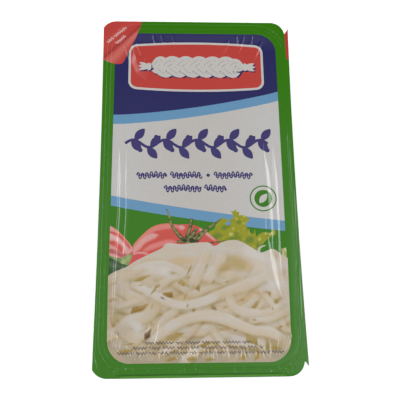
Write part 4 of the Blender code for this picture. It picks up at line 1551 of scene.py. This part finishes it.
def make_floor():
    bpy.ops.mesh.primitive_plane_add(size=8.0, location=(0.0, 0.0, 0.0))
    floor = bpy.context.object
    floor.name = "floor"
    shader = Shader("floor_white")
    shade = shader.ranged(shader.noise(6.0, 2.0), 0.78, 0.80)
    grey = shader.node("ShaderNodeCombineColor")
    for channel in ("Red", "Green", "Blue"):
        shader.link(shade, grey.inputs[channel])
    shader.feed("Base Color", grey.outputs["Color"])
    shader.set(Roughness=0.9, Specular_IOR_Level=0.1)
    shader.set(Emission_Color=(1.0, 1.0, 1.0, 1.0), Emission_Strength=0.42)
    floor.data.materials.append(shader.material)


# Name, place, target, size along X and Y, radiance
LIGHTS = (
    ("left_strip", (-0.50, 0.30, 1.00), (0.0, 0.3, 0.0), 0.18, 1.3, 4.5),
    ("right_strip", (0.60, 0.30, 1.00), (0.0, 0.3, 0.0), 0.18, 1.3, 6.4),
    ("key", (-0.45, -0.85, 0.90), (0.0, 0.0, 0.02), 0.7, 0.7, 1.2),
)


def make_light(name, place, target, size_x, size_y, radiance):
    """An area light whose face has the given radiance, its long side along Y."""
    data = bpy.data.lights.new(name, "AREA")
    data.shape = "RECTANGLE"
    data.size = size_x
    data.size_y = size_y
    data.energy = radiance * math.pi * size_x * size_y
    light = bpy.data.objects.new(name, data)
    light.location = place
    light.rotation_euler = (Vector(target) - Vector(place)).to_track_quat("-Z", "X").to_euler()
    bpy.context.scene.collection.objects.link(light)


def make_world():
    """Pale near the horizon, soft grey overhead and dark towards the pack's head."""
    world = bpy.data.worlds.new("studio")
    world.use_nodes = True
    bpy.context.scene.world = world
    tree = world.node_tree
    background = tree.nodes["Background"]
    place = tree.nodes.new("ShaderNodeTexCoord")
    split = tree.nodes.new("ShaderNodeSeparateXYZ")
    tree.links.new(place.outputs["Generated"], split.inputs["Vector"])

    def ranged(source, from_low, from_high, low, high):
        node = tree.nodes.new("ShaderNodeMapRange")
        node.interpolation_type = "SMOOTHSTEP"
        for name, value in (("From Min", from_low), ("From Max", from_high), ("To Min", low), ("To Max", high)):
            node.inputs[name].default_value = value
        tree.links.new(source, node.inputs["Value"])
        return node.outputs["Result"]

    def combined(operation, first, second):
        node = tree.nodes.new("ShaderNodeMath")
        node.operation = operation
        tree.links.new(first, node.inputs[0])
        tree.links.new(second, node.inputs[1])
        return node.outputs["Value"]

    horizon = ranged(split.outputs["Z"], 0.30, 0.62, 1.0, 0.0)
    overhead = ranged(split.outputs["Y"], 0.28, 0.52, 0.5, 0.02)
    away = tree.nodes.new("ShaderNodeVectorMath")
    away.operation = "DISTANCE"
    away.inputs[1].default_value = (0.24, 0.10, 0.965)
    tree.links.new(place.outputs["Generated"], away.inputs[0])
    patch = ranged(away.outputs["Value"], 0.02, 0.22, 0.9, 0.0)
    total = combined("ADD", combined("MAXIMUM", horizon, overhead), patch)
    tree.links.new(total, background.inputs["Strength"])
    background.inputs["Color"].default_value = (1.0, 1.0, 1.0, 1.0)


def make_camera():
    data = bpy.data.cameras.new("camera")
    data.sensor_width = SENSOR_WIDTH
    data.lens = CAMERA_LENS
    data.clip_start = 0.01
    data.clip_end = 20.0
    camera = bpy.data.objects.new("camera", data)
    turn = Matrix.Rotation(math.radians(CAMERA_TILT), 4, "X")
    turn = turn @ Matrix.Rotation(math.radians(CAMERA_LEAN), 4, "Y")
    turn = turn @ Matrix.Rotation(math.radians(CAMERA_ROLL), 4, "Z")
    x, y, z = CAMERA_PLACE
    camera.matrix_world = Matrix.Translation((x * MM, y * MM, (z + PACK_HEIGHT) * MM)) @ turn
    bpy.context.scene.collection.objects.link(camera)
    bpy.context.scene.camera = camera


film = make_film()
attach(film, "root")
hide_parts("lid_film")

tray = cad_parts["tray"]
tray.data.materials.clear()
tray.data.materials.append(tray_material())

make_floor()
make_world()
for light in LIGHTS:
    make_light(*light)
make_camera()
bpy.context.scene.view_settings.view_transform = "Standard"
